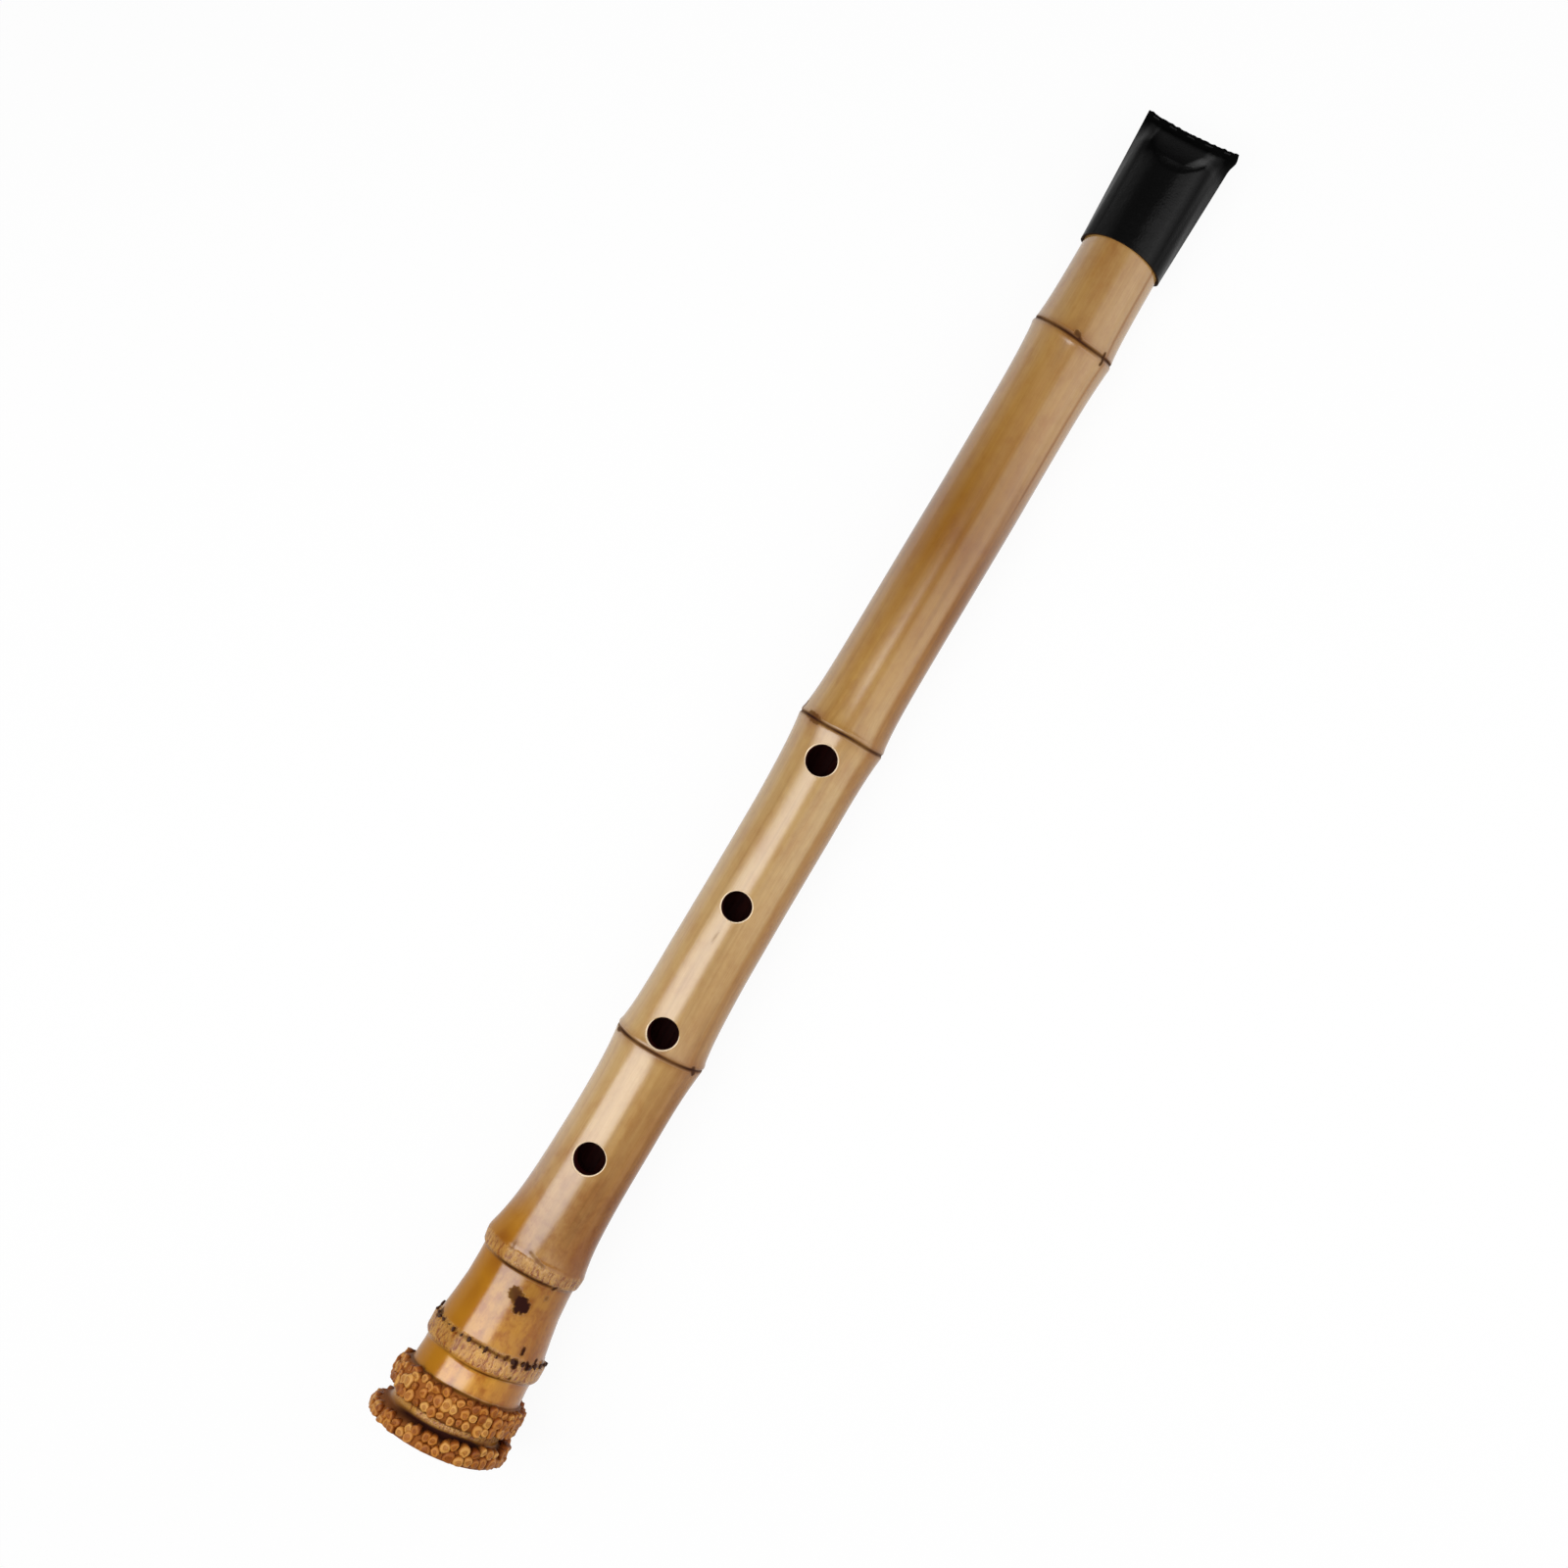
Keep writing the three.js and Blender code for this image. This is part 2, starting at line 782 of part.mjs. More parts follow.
function threadSolid(radius) {
  const round = new THREE.Shape();
  for (let side = 0; side < threadSides; side += 1) {
    const angle = 2 * Math.PI * side / threadSides;
    const x = radius * Math.cos(angle);
    const y = radius * Math.sin(angle);
    if (side === 0) {
      round.moveTo(x, y);
    } else {
      round.lineTo(x, y);
    }
  }
  round.closePath();
  const path = stitchPath();
  const tube = new THREE.ExtrudeGeometry(round, { steps: threadSteps, extrudePath: path });
  return toManifold(tube);
}

const capShell = makeCapOuter().subtract(makeCapInner());
const threadWay = threadSolid(threadRadius + threadClearance);

function capFrontPanel() {
  return capShell.intersect(panelSpace(true)).subtract(threadWay);
}

function capBackPanel() {
  return capShell.intersect(panelSpace(false)).subtract(threadWay);
}

function capSeamThread() {
  return threadSolid(threadRadius);
}

// Materials
function bambooMaterial() {
  return new THREE.MeshStandardMaterial({ color: '#bd9a66', roughness: 0.42, metalness: 0 });
}

function lacquerMaterial() {
  return new THREE.MeshStandardMaterial({ color: '#2a0f0d', roughness: 0.25, metalness: 0 });
}

function hornMaterial() {
  return new THREE.MeshStandardMaterial({ color: '#1b1613', roughness: 0.3, metalness: 0 });
}

function leatherMaterial() {
  return new THREE.MeshStandardMaterial({ color: '#141414', roughness: 0.5, metalness: 0 });
}

function threadMaterial() {
  return new THREE.MeshStandardMaterial({ color: '#0d0d0d', roughness: 0.8, metalness: 0 });
}

// Corner of a solid that lies lowest once the part leans
function lowestPoint(solid, lean) {
  const corners = toGeometry(solid).attributes.position;
  const lowest = new THREE.Vector3();
  let depth = Infinity;
  for (let number = 0; number < corners.count; number += 1) {
    const corner = new THREE.Vector3().fromBufferAttribute(corners, number);
    const height = corner.z * Math.cos(lean) - corner.x * Math.sin(lean);
    if (height < depth) {
      depth = height;
      lowest.copy(corner);
    }
  }
  return lowest;
}

// Lean of the lying flute: the root ring is thicker than the cap, so the mouth end dips
function restTurn() {
  let lean = 0;
  for (let pass = 0; pass < 3; pass += 1) {
    const root = lowestPoint(cutStalk, lean);
    const cap = lowestPoint(capShell, lean);
    lean = Math.atan2(cap.z - root.z, cap.x - root.x);
  }
  return lean;
}

const pieces = [
  ['bamboo_culm', bambooCulm(), bambooMaterial()],
  ['bore_lacquer_coat', boreCoat(), lacquerMaterial()],
  ['blowing_edge_inlay', blowingEdgeInlay(), hornMaterial()],
  ['cap_front_panel', capFrontPanel(), leatherMaterial()],
  ['cap_back_panel', capBackPanel(), leatherMaterial()],
  ['cap_seam_thread', capSeamThread(), threadMaterial()],
];

function buildPart() {
  const group = new THREE.Group();
  const box = new THREE.Box3();
  const lean = restTurn();
  for (const [name, solid, material] of pieces) {
    const geometry = toGeometry(solid);
    geometry.rotateY(lean);
    geometry.computeBoundingBox();
    box.union(geometry.boundingBox);
    const mesh = new THREE.Mesh(geometry, material);
    mesh.name = name;
    group.add(mesh);
  }
  const centre = box.getCenter(new THREE.Vector3());
  for (const mesh of group.children) {
    mesh.geometry.translate(-centre.x, -centre.y, -box.min.z);
    mesh.geometry.computeVertexNormals();
  }
  return group;
}

export default buildPart();
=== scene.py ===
"""The shakuhachi as it lies in the photograph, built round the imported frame. Metres, +Z up.

The flute's own sizes and places are in millimetres along its line, from the sawn root end."""
import json
import math
import random

import bpy
import numpy as np
from mathutils import Matrix, Vector, noise


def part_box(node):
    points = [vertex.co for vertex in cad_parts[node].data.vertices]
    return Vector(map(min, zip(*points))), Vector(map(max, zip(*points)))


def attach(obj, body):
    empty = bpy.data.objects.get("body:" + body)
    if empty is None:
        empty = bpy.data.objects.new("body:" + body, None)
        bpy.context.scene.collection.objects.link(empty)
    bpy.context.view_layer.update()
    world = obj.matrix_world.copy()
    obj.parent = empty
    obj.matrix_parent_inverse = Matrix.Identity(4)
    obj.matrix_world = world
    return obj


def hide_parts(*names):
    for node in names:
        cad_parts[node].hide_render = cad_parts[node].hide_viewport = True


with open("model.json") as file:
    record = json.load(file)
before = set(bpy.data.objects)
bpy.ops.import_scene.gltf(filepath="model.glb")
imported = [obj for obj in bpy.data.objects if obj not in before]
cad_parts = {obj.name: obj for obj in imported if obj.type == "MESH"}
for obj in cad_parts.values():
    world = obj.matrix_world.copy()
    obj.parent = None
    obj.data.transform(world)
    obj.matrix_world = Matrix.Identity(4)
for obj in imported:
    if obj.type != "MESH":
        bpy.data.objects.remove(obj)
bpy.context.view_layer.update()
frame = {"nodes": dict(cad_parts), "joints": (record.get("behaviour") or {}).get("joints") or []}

MM = 0.001

# Sizes of the flute, mm
FLUTE_LENGTH = 545.0
FOURTH_NODE = 76.7
THIRD_NODE = 165.2
SECOND_NODE = 299.7
FIRST_NODE = 466.4
EDGE_HEIGHT = 10.6

# Stalk between the nodes: place, radius
STALK = [(76.7, 16.6), (121.0, 16.5), (232.5, 15.8), (383.0, 15.8), (505.7, 15.55)]
# Nodes: place, crest radius, reach toward the mouth, reach toward the root
NODES = [
    (FIRST_NODE, 16.9, 8.0, 10.0),
    (SECOND_NODE, 17.45, 8.5, 11.0),
    (THIRD_NODE, 18.0, 9.6, 9.0),
    (FOURTH_NODE, 20.3, 12.8, 12.8),
]
CREST_ROUNDING = 0.8

# Root end, from the sawn face up to the fourth node: place, radius
ROOT = [
    (0.0, 24.6), (1.0, 25.6), (4.6, 25.6), (5.8, 24.4), (6.8, 21.7), (9.0, 21.4),
    (12.2, 21.4), (13.0, 23.4), (14.2, 24.5), (20.8, 24.6), (21.8, 23.6), (22.8, 21.7),
    (30.0, 21.2), (33.1, 21.2), (34.1, 22.2), (35.3, 23.0), (40.7, 23.05), (41.6, 22.3),
    (42.4, 21.4), (50.5, 20.15), (58.5, 19.1), (66.5, 18.75), (71.3, 18.7), (72.2, 19.8),
    (75.9, 20.3), (76.7, 20.3),
]
# Its edges are worn soft: over what span, at what steps, how far and to how many steps
ROOT_SPAN = (-3, 84)
ROOT_FINE = 0.1
EDGE_SOFTNESS = 0.35
SOFT_STEPS = 15

# Air way and holes: place, radius
BORE = [(0, 8.8), (60, 7.7), (299.7, 9.0), (545, 10.1)]
# Rings that the bore needs besides those of the sway, for the bent root end
BORE_RINGS = [30, 60]
# Filler and lacquer on the wall of the bore, and the play that the bamboo leaves them
COAT = 0.9
COAT_FIT = 0.05
# How far the cutting tools run past what they cut
CUT_OVERRUN = 6.0
HOLES = [(119.5, 6.15), (172.4, 6.05), (225.7, 5.8), (287.2, 6.05)]
THUMB_HOLE = (319.3, 5.6)
# The walls of the holes stand in by the lip, and their rims slope over the width.
# The cutting tool widens by the flare above them
HOLE_LIP = 0.1
RIM_WIDTH = 0.5
RIM_FLARE = 0.3
HOLE_SIDES = 64
BORE_SIDES = 64

# Blowing edge: the oblique cut, the pocket of the inlay, the bevel at the player's chin
EDGE_SLOPE = 0.5774
INLAY_HEIGHT = 8.0
INLAY_TOP_HALF = 6.0
INLAY_FOOT_HALF = 4.2
INLAY_DEPTH = 2.6
INLAY_FIT = 0.15
CHIN_BEVEL = 2.0
MOUTH_RADIUS = 15.55
BLOCK_SIZE = 60

# Leather cap
CAP_RIM = 503.1
CAP_SEAM = 555.6
CAP_TOP = 558.4
LEATHER = 0.9
CAP_RADIUS = 16.75
CAP_TOP_HALF = 18.6
CAP_RIM_RISE = 1.6
CAP_TOP_HOLLOW = 1.2
CAP_RIM_SLOPE = 0.04
CAP_TOP_SLOPE = -0.02
PANEL_GAP = 0.3

# The flute's own line
SWAY_WIDTH = 2.0
SWAY = [
    (0, -0.05), (0.07, 0.05), (0.144, 0.76), (0.18, 0.4), (0.24, 0), (0.295, -0.12),
    (0.37, 0.05), (0.485, -0.24), (0.555, -0.06), (0.64, -0.33), (0.73, -0.69),
    (0.85, -0.88), (1, -0.9),
]
ROOT_BEND = 0.0875
# How the rings lean: place, slope toward the front, slope toward the side
LEANS = [
    (0, 0.042, -0.07), (3.2, 0.04, -0.09), (7.0, 0.085, -0.08), (12.5, 0, -0.075),
    (19.2, 0.03, -0.07), (22.0, 0.1, -0.07), (27.0, 0.03, -0.06), (39.7, 0.05, -0.04),
    (FOURTH_NODE, 0.025, 0), (THIRD_NODE, -0.035, 0), (SECOND_NODE, -0.045, 0),
    (FIRST_NODE, -0.045, 0.076), (CAP_RIM, 0, 0),
]


def read(rows, place, column=1):
    """Value of a table's column at a place, straight between its rows."""
    return np.interp(place, [row[0] for row in rows], [row[column] for row in rows])


def rise(value, start, end):
    """0 up to the start, 1 from the end on, and straight between them."""
    return np.clip((value - start) / (end - start), 0, 1)


def bell(gap):
    """1 where the gap is nothing, falling off softly on both sides."""
    return np.exp(-gap * gap)


def circle(sides):
    """Cosine and sine of every corner of a circle."""
    turns = [2 * math.pi * side / sides for side in range(sides)]
    return [(math.cos(turn), math.sin(turn)) for turn in turns]


def sideways(place, rows=SWAY):
    """Sway of the centre line to the side."""
    return SWAY_WIDTH * read(rows, np.asarray(place) / FLUTE_LENGTH)


def bend_lift(place):
    """How far the root end has bent up toward the finger holes."""
    below = np.maximum(FOURTH_NODE - np.asarray(place), 0)
    return ROOT_BEND * below * below / (2 * FOURTH_NODE)


def stalk_points(place, angle, radius):
    """Points on the stalk: place along it, angle from the side over the front, radius."""
    side = radius * np.cos(angle)
    front = radius * np.sin(angle)
    along = place + read(LEANS, place, 1) * front + read(LEANS, place, 2) * side
    return np.stack([along, sideways(place) + side, bend_lift(place) + front], axis=-1)


def unbend(points):
    """The place, side and front of points, as if the stalk were straight."""
    place = points[:, 0].copy()
    for _ in range(3):
        side = points[:, 1] - sideways(place)
        front = points[:, 2] - bend_lift(place)
        place = points[:, 0] - read(LEANS, place, 1) * front - read(LEANS, place, 2) * side
    return place, side, front


# The cap slides straight along the flute, so its joint gives the lean of the lying flute,
# and the tip of the horn inlay gives where the mouth end is.
slide = Vector(frame["joints"][0]["axis"])
LEAN = math.atan2(-slide.z, slide.x)
LEAN_TURN = np.array([
    [math.cos(LEAN), 0, math.sin(LEAN)],
    [0, 1, 0],
    [-math.sin(LEAN), 0, math.cos(LEAN)],
])


def edge_tip():
    """The horn inlay's corner nearest to the mouth, at the middle of its width."""
    inlay = frame["nodes"]["blowing_edge_inlay"].data.vertices
    tip = max(inlay, key=lambda corner: corner.co.x).co
    middle = 0.5 * sum(corner[1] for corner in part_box("blowing_edge_inlay"))
    return np.array([tip.x, middle, tip.z]) / MM


MOUTH_POINT = np.array([FLUTE_LENGTH, float(sideways(FLUTE_LENGTH)), EDGE_HEIGHT])
SHIFT = edge_tip() - LEAN_TURN @ MOUTH_POINT


def to_world(points):
    """Points in the flute's own millimetres, into the row frame in metres."""
    return (np.asarray(points) @ LEAN_TURN.T + SHIFT) * MM


def to_flute(points):
    """Points in the row frame in metres, into the flute's own millimetres."""
    return (np.asarray(points) / MM - SHIFT) @ LEAN_TURN


# Camera
IMAGE_SIZE = 1600
PIXELS_PER_MM = 2.748
FOCAL_PIXELS = 2133
SENSOR = 36.0
ROUND_TURN = math.radians(6.1)
PICTURE_LEAN = math.radians(30.045)
PICTURE_ALONG = 273.0
PICTURE_ASIDE = 8.88
NEAR_CLIP = 0.01


def make_camera():
    """Looks straight down on the flute, turned a few degrees round it."""
    along = Vector((1, 0, 0))
    aside = Vector((0, -math.cos(ROUND_TURN), -math.sin(ROUND_TURN)))
    back = Vector((0, -math.sin(ROUND_TURN), math.cos(ROUND_TURN)))
    right = math.sin(PICTURE_LEAN) * along + math.cos(PICTURE_LEAN) * aside
    up = math.cos(PICTURE_LEAN) * along - math.sin(PICTURE_LEAN) * aside
    target = PICTURE_ALONG * along - PICTURE_ASIDE * aside
    stand = target + back * (FOCAL_PIXELS / PIXELS_PER_MM)
    turn = Matrix(LEAN_TURN.tolist())
    axes = Matrix([turn @ right, turn @ up, turn @ back]).transposed()
    data = bpy.data.cameras.new("camera")
    data.sensor_width = SENSOR
    data.lens = SENSOR * FOCAL_PIXELS / IMAGE_SIZE
    data.clip_start = NEAR_CLIP
    camera = add_object("camera", data)
    camera.matrix_world = Matrix.Translation(to_world(stand)) @ axes.to_4x4()
    bpy.context.scene.camera = camera


def picture_angle(aside, radius):
    """Angle on the stalk of a point that lies this far right of its middle in the picture."""
    return math.pi / 2 + ROUND_TURN + np.arcsin(np.clip(aside / radius, -1, 1))


# Meshes and nodes
def hex_colour(code):
    """An sRGB hex colour as linear RGBA."""
    shares = [int(code[start:start + 2], 16) / 255 for start in (1, 3, 5)]
    linear = [s / 12.92 if s <= 0.04045 else ((s + 0.055) / 1.055) ** 2.4 for s in shares]
    return (*linear, 1)


def set_inputs(node, inputs):
    """Sets inputs of a node to values or links them to the outputs of other nodes."""
    for name, value in inputs.items():
        if isinstance(value, bpy.types.NodeSocket):
            node.id_data.links.new(value, node.inputs[name])
        else:
            node.inputs[name].default_value = value


def add_node(tree, kind, inputs=None, stops=(), **settings):
    """Adds a node with its settings, its inputs and the stops of its ramp; gives its outputs."""
    node = tree.nodes.new(kind)
    for name, value in settings.items():
        setattr(node, name, value)
    set_inputs(node, inputs or {})
    if stops:
        elements = node.color_ramp.elements
        while len(elements) < len(stops):
            elements.new(1)
        for element, (place, code) in zip(elements, stops):
            element.position = place
            element.color = hex_colour(code)
    return node.outputs


def lay_colours(tree, colour, layers):
    """A colour with others laid over it: how each is blended, its share and its colour."""
    for blend, share, over in layers:
        if isinstance(over, str):
            over = hex_colour(over)
        colour = add_node(
            tree, "ShaderNodeMix", {"Factor": share, "A": colour, "B": over},
            data_type="RGBA", blend_type=blend)["Result"]
    return colour


def add_object(name, data):
    """Puts a mesh, camera or lamp into the scene."""
    thing = bpy.data.objects.new(name, data)
    bpy.context.collection.objects.link(thing)
    return thing


def new_object(name, vertices, faces):
    """A mesh object at the origin from points in metres."""
    mesh = bpy.data.meshes.new(name)
    mesh.from_pydata([tuple(point) for point in vertices], [], faces)
    mesh.update()
    return add_object(name, mesh)


def ring_faces(rings, sides):
    """Quads between rings of points that turn from +Y over +Z along +X, and end faces."""
    faces = [tuple(reversed(range(sides))), tuple(range((rings - 1) * sides, rings * sides))]
    for ring in range(rings - 1):
        for side in range(sides):
            here = ring * sides + side
            beside = ring * sides + (side + 1) % sides
            faces.append((here, beside, beside + sides, here + sides))
    return faces


def store(mesh, name, values, kind="FLOAT"):
    """Writes one value or vector for each point of a mesh."""
    attribute = mesh.attributes.new(name, kind, "POINT")
    field = "vector" if kind == "FLOAT_VECTOR" else "value"
    attribute.data.foreach_set(field, np.asarray(values, dtype=np.float32).ravel())


def mesh_points(mesh):
    """The points of a mesh as rows of numbers."""
    points = np.empty(len(mesh.vertices) * 3)
    mesh.vertices.foreach_get("co", points)
    return points.reshape(-1, 3)


def plain_mesh_of(thing):
    """What an object's modifiers make of it, as a plain mesh, with the modifiers removed."""
    bpy.context.view_layer.update()
    evaluated = thing.evaluated_get(bpy.context.evaluated_depsgraph_get())
    mesh = bpy.data.meshes.new_from_object(evaluated)
    thing.modifiers.clear()
    return mesh


def cut(thing, tool):
    """Cuts a closed tool out of a closed mesh and deletes the tool."""
    modifier = thing.modifiers.new("cut", "BOOLEAN")
    modifier.operation = "DIFFERENCE"
    modifier.solver = "MANIFOLD"
    modifier.object = tool
    thing.data = plain_mesh_of(thing)
    # The cut leaves an empty material slot behind
    thing.data.materials.clear()
    bpy.data.objects.remove(tool)


# Bamboo skin
SKIN_SIDES = 216
PLAIN_STEP = 3.6
NODE_STEP = 0.4
NODE_ZONE = 5.0
ROOT_STEP = 0.5


def skin_places():
    """Rings of the skin, close together at the nodes and at the root."""
    places = list(np.arange(0, FOURTH_NODE + NODE_ZONE, ROOT_STEP))
    edge = places[-1]
    for node in (THIRD_NODE, SECOND_NODE, FIRST_NODE):
        count = math.ceil((node - NODE_ZONE - edge) / PLAIN_STEP)
        places += list(np.linspace(edge, node - NODE_ZONE, count + 1))[1:]
        count = math.ceil(2 * NODE_ZONE / NODE_STEP)
        places += list(np.linspace(node - NODE_ZONE, node + NODE_ZONE, count + 1))[1:]
        edge = node + NODE_ZONE
    count = math.ceil((FLUTE_LENGTH - edge) / PLAIN_STEP)
    places += list(np.linspace(edge, FLUTE_LENGTH, count + 1))[1:]
    return np.array(places)


def waves(angle, seed, strengths):
    """A closed wavy line round the stalk, about one unit high."""
    draw = random.Random(seed)
    total = 0
    for number, strength in enumerate(strengths):
        phase = draw.uniform(0, 2 * math.pi)
        total = total + strength * np.sin((number + 2) * angle + phase)
    return total / sum(strengths)


def turn_gap(angle, middle):
    """Difference of two angles, between minus and plus half a turn."""
    return (angle - middle + math.pi) % (2 * math.pi) - math.pi


def root_table():
    """Root outline at every tenth of a millimetre, its edges worn soft."""
    fine = np.arange(*ROOT_SPAN, ROOT_FINE)
    padded = np.pad(read(ROOT, fine), SOFT_STEPS, mode="edge")
    reach = ROOT_FINE * np.arange(-SOFT_STEPS, SOFT_STEPS + 1)
    weights = np.exp(-(reach / EDGE_SOFTNESS) ** 2 / 2)
    return fine, np.convolve(padded, weights / weights.sum(), "valid")


ROOT_PLACES, ROOT_RADII = root_table()


def stalk_radius(place):
    """Radius of the plain stalk with its nodes, without the root end."""
    radius = read(STALK, place)
    for node, crest, up, down in NODES:
        distance = place - node
        reach = np.where(distance > 0, up, down)
        rounded = np.hypot(distance, CREST_ROUNDING) - CREST_ROUNDING
        radius = radius + (crest - read(STALK, node)) * np.exp(-rounded / reach)
    return radius


# Scar lines of the nodes: place, and where the raised lip beside the line is
SCARS = [(FIRST_NODE + 1.4, -1.8), (SECOND_NODE + 0.3, 1.5), (THIRD_NODE - 0.2, 1.6)]
# How far the scars run off their plane: node, toward the root all round, and at the front
SCAR_BENDS = [(FIRST_NODE, -1.0, 1.6), (THIRD_NODE, -1.2, 0.9)]
SCAR_REACH = 4.0
LINE_DEPTH = 0.45
LINE_WIDTH = 0.5
LIP_HEIGHT = 0.3
LIP_WIDTH = 1.0
# Groove on the shoulder of the fourth node: place, half width, depth, and where it is
# deepest: distance aside in the picture, radius there, reach round the stalk
SHOULDER_GROOVE = (78.0, 0.5, 0.3, -2, 20, 0.6)
# Waves round the stalk: the strengths of two bumps in a turn, of three, and so on
CALM = (1, 0.7, 0.5, 0.35, 0.25)
RAGGED = (0.2, 0.5, 1, 1, 0.8, 0.8)
LIP_WAVES = (1, 1, 0.4)
WORN_WAVES = (0.6, 0.8, 0.8, 0.9, 1.0, 1.0)
# How the lines wander along the stalk: place, reach, height, seed, waves
WANDERS = [
    (FIRST_NODE, 6.0, 0.45, 11, CALM), (SECOND_NODE, 6.0, 0.45, 12, CALM),
    (THIRD_NODE, 6.0, 0.45, 13, CALM), (FOURTH_NODE, 6.0, 0.45, 14, CALM),
    (41.7, 2.5, 0.7, 31, RAGGED), (33.9, 2.5, 0.7, 32, RAGGED),
    (22.0, 2.5, 0.7, 33, RAGGED), (8.0, 2.5, 0.7, 34, RAGGED),
]
# How the stalk is out of round: height, bumps in a turn, length over which they turn
OVALS = [(0.06, 2, 140), (0.03, 3, -60)]


def node_wander(place, angle):
    """How far the lines of nodes and bands wander along the stalk, here and at this angle."""
    wander = 0
    for line, reach, height, seed, strengths in WANDERS:
        near = bell((place - line) / reach)
        wander = wander + height * near * waves(angle, seed, strengths)
    for node, whole, front in SCAR_BENDS:
        near = bell((place - node) / SCAR_REACH)
        wander = wander + near * (whole + front * np.sin(angle))
    return wander


def skin_radius(place, angle):
    """Radius of the bamboo skin, with the unevenness of a grown stalk."""
    moved = place + node_wander(place, angle)
    root = np.interp(moved, ROOT_PLACES, ROOT_RADII)
    radius = np.where(moved < FOURTH_NODE - CREST_ROUNDING, root, stalk_radius(moved))
    for line, lip in SCARS:
        radius = radius - LINE_DEPTH * bell((moved - line) / LINE_WIDTH)
        strength = 0.5 + 0.5 * waves(angle, line, LIP_WAVES)
        radius = radius + LIP_HEIGHT * strength * bell((moved - line - lip) / LIP_WIDTH)
    groove_and_shade_line, half, depth, aside, here, reach = SHOULDER_GROOVE
    turn = turn_gap(angle, picture_angle(aside, here))
    radius = radius - depth * bell(turn / reach) * bell((moved - groove_and_shade_line) / half)
    for height, bumps, length in OVALS:
        radius = radius + height * np.sin(bumps * angle + place / length)
    return radius


def bore_tool(wider):
    """The air way made wider by an amount, running out past both ends."""
    rows = SWAY[::2]
    places = [-CUT_OVERRUN, *BORE_RINGS, FLUTE_LENGTH + CUT_OVERRUN]
    places = sorted(places + [share * FLUTE_LENGTH for share, _ in rows])
    rings = []
    for place in places:
        radius = float(read(BORE, place)) + wider
        aside, lift = float(sideways(place, rows)), float(bend_lift(place))
        rings += [
            (place, aside + radius * x, lift + radius * y) for x, y in circle(BORE_SIDES)]
    return new_object("bore_tool", to_world(rings), ring_faces(len(places), BORE_SIDES))


def hole_tool(place, radius, front):
    """Straight from the middle of the bore outward, its rim following the round skin."""
    face = float(stalk_radius(place))
    centre = float(sideways(place))
    way = 1 if front else -1
    outer = RIM_WIDTH - HOLE_LIP
    rings = []
    for wide, above in (
        (-HOLE_LIP, None), (-HOLE_LIP, -RIM_WIDTH), (outer, 0),
        (outer + RIM_FLARE, CUT_OVERRUN),
    ):
        for x, y in circle(HOLE_SIDES):
            across = way * (radius + wide) * y
            skin = math.sqrt(face * face - across * across)
            height = 0 if above is None else skin + above
            rings.append((place + (radius + wide) * x, centre + across, way * height))
    return new_object("hole_tool", to_world(rings), ring_faces(4, HOLE_SIDES))


def block_tool(name, corners, turn, start):
    """A closed block from eight corners, turned about the sideways axis and moved."""
    cosine, sine = math.cos(turn), math.sin(turn)
    points = [
        (x * cosine + z * sine + start[0], y + start[1], -x * sine + z * cosine + start[2])
        for x, y, z in corners
    ]
    faces = [(0, 3, 2, 1), (4, 5, 6, 7), (0, 1, 5, 4), (1, 2, 6, 5), (2, 3, 7, 6), (3, 0, 4, 7)]
    return new_object(name, to_world(points), faces)


def box_corners(x_low, x_high, half_low, half_high, z_low, z_high):
    """Corners of a block whose width goes from one end to the other."""
    flat = [(x_low, -half_low), (x_high, -half_high), (x_high, half_high), (x_low, half_low)]
    return [(x, y, z) for z in (z_low, z_high) for x, y in flat]


def mouth_tools():
    """Tools for the oblique blowing edge, the chin bevel and the pocket of the inlay."""
    turn = math.atan(EDGE_SLOPE)
    size = BLOCK_SIZE
    start = (FLUTE_LENGTH, float(sideways(FLUTE_LENGTH)), EDGE_HEIGHT)
    edge = block_tool("edge", box_corners(-size, size, size, size, 0, size), turn, start)
    chin_start = (FLUTE_LENGTH, start[1], CHIN_BEVEL - MOUTH_RADIUS)
    chin_box = box_corners(-size, size, size, size, -size, 0)
    chin = block_tool("chin", chin_box, -math.pi / 4, chin_start)
    flare = (INLAY_TOP_HALF - INLAY_FOOT_HALF) / INLAY_HEIGHT
    foot_half = INLAY_FOOT_HALF + INLAY_FIT * (1 - flare)
    top_half = INLAY_TOP_HALF + INLAY_FIT + flare * CUT_OVERRUN
    pocket_box = box_corners(
        -INLAY_HEIGHT - INLAY_FIT, CUT_OVERRUN, foot_half, top_half,
        -INLAY_DEPTH - INLAY_FIT, CUT_OVERRUN,
    )
    return [edge, chin, block_tool("pocket", pocket_box, turn, start)]


def make_skin():
    """The whole bamboo as one closed mesh with its bore, holes and mouth cut."""
    places = skin_places()
    angles = 2 * math.pi * np.arange(SKIN_SIDES) / SKIN_SIDES
    place, angle = np.meshgrid(places, angles, indexing="ij")
    place, angle = place.ravel(), angle.ravel()
    points = stalk_points(place, angle, skin_radius(place, angle))
    faces = ring_faces(len(places), SKIN_SIDES)
    skin = new_object("bamboo_skin", to_world(points), faces)
    cut(skin, bore_tool(COAT + COAT_FIT))
    for hole_place, radius in HOLES:
        cut(skin, hole_tool(hole_place, radius, True))
    cut(skin, hole_tool(*THUMB_HOLE, False))
    for tool in mouth_tools():
        cut(skin, tool)
    return skin


# Marks on the skin

